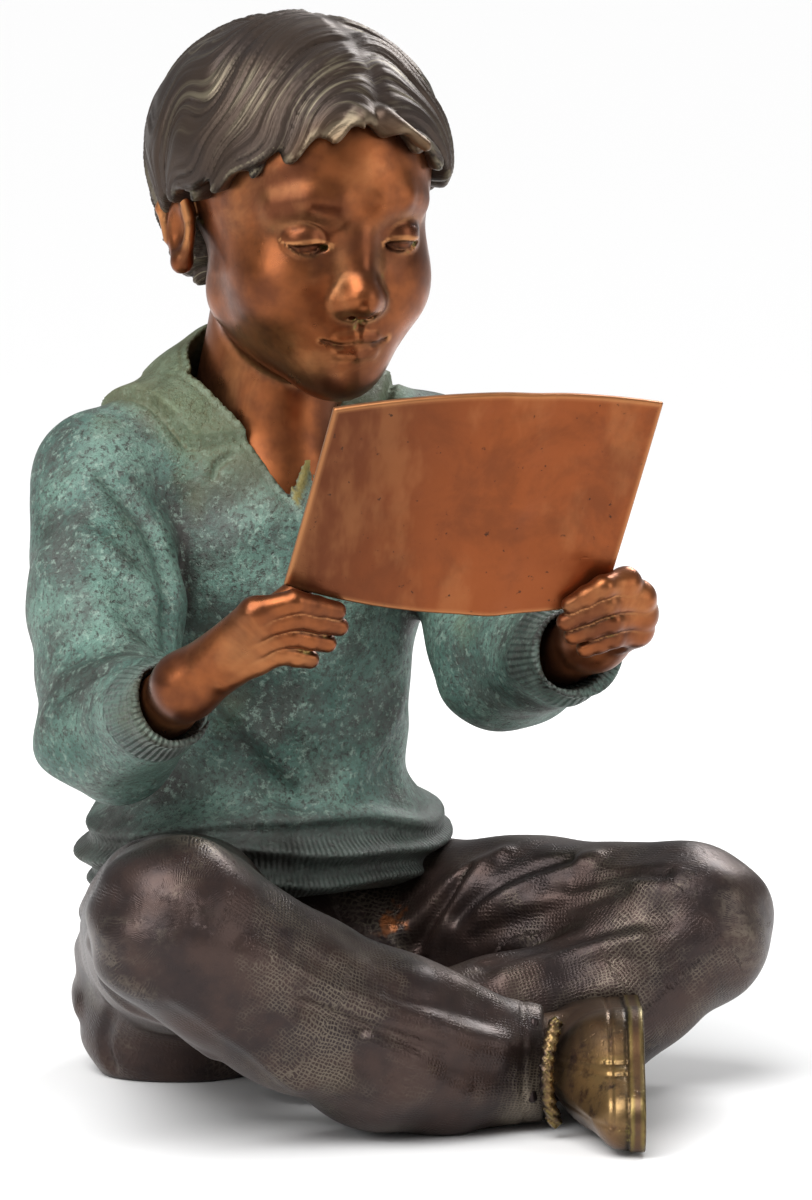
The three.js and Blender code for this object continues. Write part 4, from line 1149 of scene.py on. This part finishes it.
def woven(net, pitch):
    """Crossed threads with a pitch in millimetres, broken up as a modeller's tool leaves them."""

    def fill(net, given):
        parts = net.node("ShaderNodeSeparateXYZ", {"Vector": given["Threads"]}).outputs
        turn = net.out("ShaderNodeMath", {0: 2 * math.pi, 1: given["Pitch"]}, operation="DIVIDE")
        bend = net.noise(130, 3, 0.6) * 16
        warp, weft = ((Wire(net, part) * turn + bend).calc("SINE") for part in parts[:2])
        crossed = warp.calc("MAXIMUM", weft * 0.8)
        patchy = net.noise(55, 4, 0.7).span(0.4, 0.62, 0.1, 1)
        return {"Height": crossed * 0.42 * patchy, "Threads Mask": crossed.span(0.1, 0.9)}

    outputs = {"Height": NUMBER, "Threads Mask": NUMBER}
    group = group_of("Woven threads", {"Threads": PLACE, "Pitch": pitch}, outputs, fill)
    return net.placed(group, {"Threads": net.mark("threads", "Vector"), "Pitch": pitch})


def bronze(name, colour, height, metallic, roughness, bump, distance):
    """A finish: the shader's own fixed numbers stay on its sockets."""
    material = bpy.data.materials.new(name)
    material.use_nodes = True
    net = Net(material.node_tree)
    shader = material.node_tree.nodes["Principled BSDF"]
    for key, value in (("Base Color", colour), ("Metallic", metallic), ("Roughness", roughness)):
        net.plug(value(net) if callable(value) else value, shader.inputs[key])
    values = {"Height": height(net), "Strength": bump, "Distance": distance * MM}
    net.plug(net.out("ShaderNodeBump", values, "Normal"), shader.inputs["Normal"])
    return material


def skin_material(paint):
    def colour(net):
        colours = (paint.skin, paint.skin_dark, paint.skin_high, paint.recess, paint.salts)
        out = patina(net, colours, 0.1, 0.5, 0.7, darkness=0.55)
        return net.tint(net.noise(13, 5, 0.65, 0.6).span(0.5, 0.72, 0, 0.3), out["Colour"], paint.skin_high)

    def roughness(net):
        return net.noise(70, 4, 0.6).span(0.3, 0.7, 0.27, 0.42)

    def height(net):
        return cast_height(net, 0.35, 0.06, 0.15)

    return bronze("Rubbed skin bronze", colour, height, 0.9, roughness, 0.35, 0.5)


def hair_material(paint):
    def strands(net, across, along):
        return net.noise(1, 3, 0.6, at=net.stretched(net.mark("flow", "Vector"), (across, along, 1)))

    def colour(net):
        colours = (paint.hair, paint.hair_dark, paint.hair_high, paint.recess, paint.salts)
        out = patina(net, colours, 0.12, 0.6, 0.3)
        streaks = strands(net, 34, 1.6).span(0.5, 0.66, 0, 0.7) * net.noise(14, 3, 0.5).span(0.4, 0.6)
        grey = net.tint(streaks, out["Colour"], paint.hair_high)
        return net.tint(net.mark("fringe") * 0.75, grey, paint.hair_warm)

    def height(net):
        return strands(net, 85, 3) * 1.2 + cast_height(net, 0.3, 0.1, 0.2)

    return bronze("Combed hair bronze", colour, height, 0.72, 0.42, 0.55, 0.7)


def knit_material(paint):
    def colour(net):
        greens = (paint.verdigris, paint.verdigris_deep, paint.verdigris_pale)
        out = patina(net, (*greens, paint.knit_dark, paint.moss), 0.12, 0.5, 0.6, rub=0.55)
        olive = net.noise(9, 3, 0.5).span(0.56, 0.7, 0, 0.55).calc("MAXIMUM", net.mark("collar") * 0.65)
        made = out["Colour"]
        for share, over in (
            (net.noise(15, 8, 0.74, 0.3).span(0.44, 0.62, 0, 0.8), paint.knit_dark),
            (net.noise(330, 4, 0.8).span(0.48, 0.6, 0, 0.8), paint.knit_dark),
            (net.noise(190, 5, 0.75).span(0.53, 0.66, 0, 0.65), paint.verdigris_pale),
            (olive, paint.moss),
            (net.mark("hem") * 0.8, paint.knit_dark),
            (net.mark("brass"), paint.brass),
        ):
            made = net.tint(share, made, over)
        return made

    def height(net):
        crust = net.noise(180, 6, 0.75) * 1.5
        ribs = (net.mark("across") * (2 * math.pi / paint.rib_pitch)).calc("SINE") * net.mark("ribbing")
        return crust + ribs + cast_height(net, 0.8, 0.3, 0.6)

    def metallic(net):
        return net.noise(17, 6, 0.68, 0.4).span(0.46, 0.6, 0.08, 0.6)

    return bronze("Verdigris knit", colour, height, metallic, 0.5, 0.8, 0.9)


def cloth_material(paint):
    def colour(net):
        colours = (paint.cloth, paint.cloth_dark, paint.cloth_high, paint.recess, paint.moss)
        out = patina(net, colours, 0.1, 0.55, 0.2)
        rubbed = net.noise(14, 6, 0.7, 0.4).span(0.46, 0.66, 0, 0.6)
        threads = (rubbed + out["High"]) * woven(net, paint.thread_pitch)["Threads Mask"]
        made = net.tint(threads, out["Colour"], paint.cloth_high)
        return net.tint(net.mark("lap") * net.noise(40, 3, 0.6).span(0.6, 0.7), made, paint.rust)

    def height(net):
        return woven(net, paint.thread_pitch)["Height"] + cast_height(net, 0.5, 0.15, 0.25)

    return bronze("Woven trouser bronze", colour, height, 0.7, 0.38, 0.5, 0.6)


def shoe_material(paint):
    def colour(net):
        colours = (paint.shoe, paint.cloth, paint.brass, paint.recess, paint.salts)
        out = patina(net, colours, 0.1, 0.5, 0.6)
        gilt = net.mark("brass") * net.noise(90, 5, 0.7).span(0.3, 0.55) * 0.85
        return net.tint(net.mark("sock"), net.tint(gilt, out["Colour"], paint.gilt), paint.cloth_dark)

    def height(net):
        return cast_height(net, 0.5, 0.3, 0.4)

    return bronze("Rubbed shoe brass", colour, height, 0.85, 0.36, 0.5, 0.6)


def sheet_material(paint):
    def colour(net):
        wiped = net.stretched(net.out("ShaderNodeTexCoord", output="Object"), (30, 30, 7))
        # Painted shade: dark brown at one side of the sheet, turning orange across its width
        made = net.tint(net.mark("across").span(-1, 0.2), paint.sheet_shade_and_blotches, paint.sheet)
        for share, over in (
            (net.noise(24, 6, 0.65, 0.4).span(0.42, 0.66, 0, 0.5), paint.sheet_shade_and_blotches),
            (net.noise(1, 4, 0.6, at=wiped).span(0.5, 0.68, 0, 0.14), paint.skin_high),
            (net.noise(190, 3, 0.6).span(0.66, 0.74, 0, 0.8), paint.recess),
            # Painted highlight: golden copper along the sheet's rim
            (net.mark("rim") * 0.45, paint.skin_high),
        ):
            made = net.tint(share, made, over)
        return made

    def height(net):
        return net.noise(24, 3, 0.5) * 4 + cast_height(net, 0.8, 0.08, 0.3)

    def roughness(net):
        return net.noise(45, 4, 0.6).span(0.3, 0.7, 0.3, 0.46)

    return bronze("Copper sheet", colour, height, 0.85, roughness, 0.4, 0.6)


def finish_of(context, make):
    """A material made once and shared by the pieces that need it."""
    key = f"finish_{make.__name__}"
    if key not in context.scene:
        context.scene[key] = make(context.scene.reading_boy_paint).name
    return bpy.data.materials[context.scene[key]]


def number(name, description, default, **more):
    return bpy.props.FloatProperty(name=name, description=description, default=default, **more)


def colour(name, description, default):
    return bpy.props.FloatVectorProperty(
        name=name, description=description, default=default, subtype="COLOR", size=3, min=0, max=1
    )


class ReadingBoyShape(bpy.types.PropertyGroup):
    """Sizes of the casting's modelling."""

    fine_cell: number("Fine cell", "Mesh size of the shoes, which sets the others", 0.00135, unit="LENGTH")
    lock_depth: number("Lock depth", "Depth of the valleys between locks", 0.0043, unit="LENGTH")
    fold_depth: number("Fold depth", "Share of the modelled depth of the folds", 1.3, subtype="FACTOR")


class ReadingBoyPaint(bpy.types.PropertyGroup):
    """Colours of the patina, and the pitch of ribs and threads."""

    skin: colour("Skin", "Copper brown of face and hands", (0.27, 0.085, 0.028))
    skin_dark: colour("Dark skin", "Darker brown of face and hands", (0.13, 0.042, 0.018))
    # Also the colour of the painted highlight along the sheet's rim
    skin_high: colour("Rubbed skin", "Golden copper where skin is rubbed", (0.6, 0.27, 0.105))
    hair: colour("Hair", "Grey-brown of the hair", (0.062, 0.042, 0.031))
    hair_dark: colour("Dark hair", "Dark grey-brown of the hair", (0.05, 0.036, 0.03))
    hair_high: colour("Rubbed hair", "Grey-green on the highs of the locks", (0.25, 0.215, 0.145))
    hair_warm: colour("Warm hair", "Warm brown of the fringe", (0.17, 0.09, 0.04))
    verdigris: colour("Verdigris", "Sea green of the sweater", (0.14, 0.24, 0.195))
    verdigris_deep: colour("Deep verdigris", "Darker green of the sweater", (0.07, 0.14, 0.115))
    verdigris_pale: colour("Pale verdigris", "Pale green crust", (0.26, 0.36, 0.3))
    knit_dark: colour("Dark knit", "Grey-brown bronze under the green", (0.05, 0.05, 0.045))
    moss: colour("Moss", "Yellow-green patches", (0.14, 0.15, 0.07))
    cloth: colour("Trousers", "Purple-brown of the trousers", (0.06, 0.037, 0.031))
    cloth_dark: colour("Dark trousers", "Darkest brown of the trousers", (0.034, 0.024, 0.023))
    cloth_high: colour("Rubbed trousers", "Grey-olive on the highs", (0.2, 0.165, 0.125))
    rust: colour("Rust", "Orange spots on the lap", (0.35, 0.12, 0.04))
    shoe: colour("Shoe", "Brown of the shoe", (0.12, 0.064, 0.032))
    brass: colour("Brass", "Yellow-green brass of the neck edge", (0.22, 0.18, 0.05))
    gilt: colour("Gilt", "Golden brass rubbed on the shoe", (0.42, 0.26, 0.1))
    sheet: colour("Sheet", "Orange-brown copper of the sheet", (0.25, 0.066, 0.019))
    # Painted shade on one side of the sheet, and the colour of its random dark blotches
    sheet_shade_and_blotches: colour("Dark sheet", "Brown of the sheet's shaded side", (0.115, 0.034, 0.013))
    # Recess is also the colour of the painted shade where parts of the figure stand close
    recess: colour("Recess", "Dark oxide in hollows", (0.022, 0.015, 0.011))
    salts: colour("Salts", "Green-gold residue in hollows", (0.2, 0.17, 0.05))
    rib_pitch: number("Rib pitch", "Distance between the ribs of cuffs and hem, in millimetres", 3.6)
    thread_pitch: number("Thread pitch", "Distance between trouser threads, in millimetres", 2.3)


class ReadingBoyStage(bpy.types.PropertyGroup):
    """Light and viewpoint."""

    azimuth: number("Azimuth", "Camera's way round from the front", math.radians(-32), subtype="ANGLE")
    elevation: number("Elevation", "Camera's height above level", math.radians(8), subtype="ANGLE")
    distance: number("Distance", "From the camera to the figure", 5, unit="LENGTH")
    daylight: number("Room light", "Strength of the pale room round the figure", 0.32)
    sky: number("Sky light", "Strength of the wide light from above", 3.1)
    key: number("Key light", "Power of the soft key light", 22, subtype="POWER")


class CastRegion:
    """Makes the pieces of one operator: regions of the casting that share a finish."""

    regions = ()
    finish = None
    replaced = None

    def marks(self, vertices):
        return {}

    def execute(self, context):
        for name in self.regions:
            vertices, quads, marks = cast_region(context, name, self.marks)
            finish = finish_of(context, type(self).finish)
            piece = new_piece(f"boy_{name}", vertices, quads, marks, finish)
            if self.replaced:
                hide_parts(self.replaced)
        return {"FINISHED"}


class CastHead(CastRegion, bpy.types.Operator):
    """Face, ears and neck in rubbed copper-brown bronze"""

    bl_idname = "reading_boy.head"
    bl_label = "Head"
    regions = ("head",)
    finish = skin_material
    replaced = "boy"


class CastHair(CastRegion, bpy.types.Operator):
    """Parted hair in combed locks"""

    bl_idname = "reading_boy.hair"
    bl_label = "Hair"
    regions = ("hair",)
    finish = hair_material

    def marks(self, vertices):
        q = HEAD.into(vertices)
        front, back, out, behind = hair_flow(q)
        fringe = ramp(-q[:, 1], 62, 88) * (1 - ramp(q[:, 2], 52, 84))
        return {"flow": np.stack([front * (1 - behind) + back * behind, out, behind], 1), "fringe": fringe}


class CastSweater(CastRegion, bpy.types.Operator):
    """Knitted sweater with collar, ribbed cuffs and gathered hem"""

    bl_idname = "reading_boy.sweater"
    bl_label = "Sweater"
    regions = ("sweater",)
    finish = knit_material

    def marks(self, vertices):
        return sweater_marks(vertices)


class CastTrousers(CastRegion, bpy.types.Operator):
    """Trousers on crossed legs, in woven relief"""

    bl_idname = "reading_boy.trousers"
    bl_label = "Trousers"
    regions = ("trousers",)
    finish = cloth_material

    def marks(self, vertices):
        return {"threads": leg_coordinates(vertices), "lap": 1 - ramp(ball(LAP, LAP_RADIUS)(vertices), -6, 8)}


class CastHands(CastRegion, bpy.types.Operator):
    """Both hands, which hold the sheet by its lower corners"""

    bl_idname = "reading_boy.hands"
    bl_label = "Hands"
    regions = ("hand_right", "hand_left")
    finish = skin_material


class CastShoes(CastRegion, bpy.types.Operator):
    """Right shoe on its side with its sole outwards, and the left shoe behind it"""

    bl_idname = "reading_boy.shoes"
    bl_label = "Shoes"
    regions = ("shoes",)
    finish = shoe_material

    def marks(self, vertices):
        return shoe_marks(vertices)


class CastSheet(bpy.types.Operator):
    """The curled sheet that he reads"""

    bl_idname = "reading_boy.sheet"
    bl_label = "Sheet"

    def execute(self, context):
        vertices, quads, at = sheet_grid(*SHEET_CELLS)
        across, up = at.T
        calm = ramp(1 - np.maximum(np.abs(across), np.abs(up)), 0, 0.2)
        vertices = vertices + SHEET_OUT * (0.7 * ripples(vertices, 34, 8) * calm)[:, None]
        edge = np.minimum((1 - np.abs(across)) * SHEET_WIDTH, (1 - np.abs(up)) * SHEET_HEIGHT) / 2
        # Across runs over the sheet's width, for its painted shade; rim marks its last millimetres, for a
        # painted highlight
        marks = {"across": across, "rim": 1 - ramp(edge, 0.3, 1.8)}
        piece = new_piece("sheet", vertices, quads, marks, finish_of(context, sheet_material))
        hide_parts("reading_sheet")
        return {"FINISHED"}


class SetStage(bpy.types.Operator):
    """Pale floor, soft studio light and the camera"""

    bl_idname = "reading_boy.stage"
    bl_label = "Stage"

    def execute(self, context):
        settings = context.scene.reading_boy_stage
        add_floor()
        view = add_camera(context, settings, placing())
        sky = add_lamp("Sky light", "SUN", view, SKY_PLACE, settings.sky, Vector((0, 0, 0)))
        sky.angle = SKY_ANGLE
        centre = (CAD_LOW + CAD_HIGH) / 2
        for name, place, size, share in LAMPS:
            add_lamp(name, "AREA", view, place, settings.key * share, centre).size = size
        context.scene.view_settings.view_transform = "Standard"
        world = bpy.data.worlds.new("Pale room")
        world.use_nodes = True
        background = world.node_tree.nodes["Background"]
        background.inputs["Color"].default_value = (1, 1, 1, 1)
        background.inputs["Strength"].default_value = settings.daylight
        context.scene.world = world
        return {"FINISHED"}


def add_floor():
    mesh = bpy.data.meshes.new("floor")
    corners = [(x * FLOOR_HALF, y * FLOOR_HALF, 0) for x, y in ((-1, -1), (1, -1), (1, 1), (-1, 1))]
    mesh.from_pydata(corners, [], [(0, 1, 2, 3)])
    floor = bpy.data.objects.new("floor", mesh)
    bpy.context.collection.objects.link(floor)
    material = bpy.data.materials.new("Pale floor")
    material.use_nodes = True
    shader = material.node_tree.nodes["Principled BSDF"]
    shader.inputs["Base Color"].default_value = (0.86, 0.86, 0.86, 1)
    shader.inputs["Roughness"].default_value = 0.9
    shader.inputs["Specular IOR Level"].default_value = 0.1
    mesh.materials.append(material)


def add_camera(context, settings, origin):
    """Camera of the picture: PICTURE_SCALE pixels to a metre at its aim."""
    a, e = settings.azimuth, settings.elevation
    right = vec(math.cos(a), math.sin(a), 0)
    back = vec(math.sin(a) * math.cos(e), -math.cos(a) * math.cos(e), math.sin(e))
    up = np.cross(back, right)
    aim = origin + right * AIM_ACROSS / PICTURE_SCALE + up * AIM_UP / PICTURE_SCALE
    camera = bpy.data.cameras.new("Camera")
    camera.sensor_width = SENSOR
    camera.lens = SENSOR * PICTURE_SCALE * settings.distance / PICTURE_HEIGHT
    camera.clip_end = 200
    holder = bpy.data.objects.new("Camera", camera)
    holder.location = Vector(aim + back * settings.distance)
    holder.rotation_mode = "QUATERNION"
    holder.rotation_quaternion = Vector(-back).to_track_quat("-Z", "Y")
    context.collection.objects.link(holder)
    context.scene.camera = holder
    return np.stack([right, vec(math.sin(a), -math.cos(a), 0), vec(0, 0, 1)])


def add_lamp(name, kind, view, place, power, target):
    """A light at a place to the picture's right, towards the camera and up, turned to its target."""
    lamp = bpy.data.lights.new(name, kind)
    lamp.energy = power
    holder = bpy.data.objects.new(name, lamp)
    holder.location = Vector(vec(place) @ view)
    holder.rotation_mode = "QUATERNION"
    holder.rotation_quaternion = (target - holder.location).to_track_quat("-Z", "Y")
    bpy.context.collection.objects.link(holder)
    return lamp


class ReadingBoyPanel(bpy.types.Panel):
    """Pieces of the reading boy, in the order that they are made"""

    bl_idname = "VIEW3D_PT_reading_boy"
    bl_label = "Bronze reading boy"
    bl_space_type = "VIEW_3D"
    bl_region_type = "UI"
    bl_category = "Bronze"

    def draw(self, context):
        layout = self.layout
        for name in GROUPS:
            holder = getattr(context.scene, name)
            box = layout.box()
            for key in holder.bl_rna.properties.keys():
                if key not in ("rna_type", "name"):
                    box.prop(holder, key)
        for operator in OPERATORS:
            layout.operator(operator.bl_idname)


OPERATORS = (CastHead, CastHair, CastSweater, CastTrousers, CastHands, CastShoes, CastSheet, SetStage)
GROUPS = {
    "reading_boy": ReadingBoyShape,
    "reading_boy_paint": ReadingBoyPaint,
    "reading_boy_stage": ReadingBoyStage,
}
CLASSES = (*GROUPS.values(), *OPERATORS, ReadingBoyPanel)


def register():
    for made in CLASSES:
        bpy.utils.register_class(made)
    for name, group in GROUPS.items():
        setattr(bpy.types.Scene, name, bpy.props.PointerProperty(type=group))


def unregister():
    for name in GROUPS:
        delattr(bpy.types.Scene, name)
    for made in reversed(CLASSES):
        bpy.utils.unregister_class(made)


def main():
    register()
    for piece in ("head", "hair", "sweater", "trousers", "hands", "shoes", "sheet", "stage"):
        getattr(bpy.ops.reading_boy, piece)()


if __name__ == "__main__":
    main()
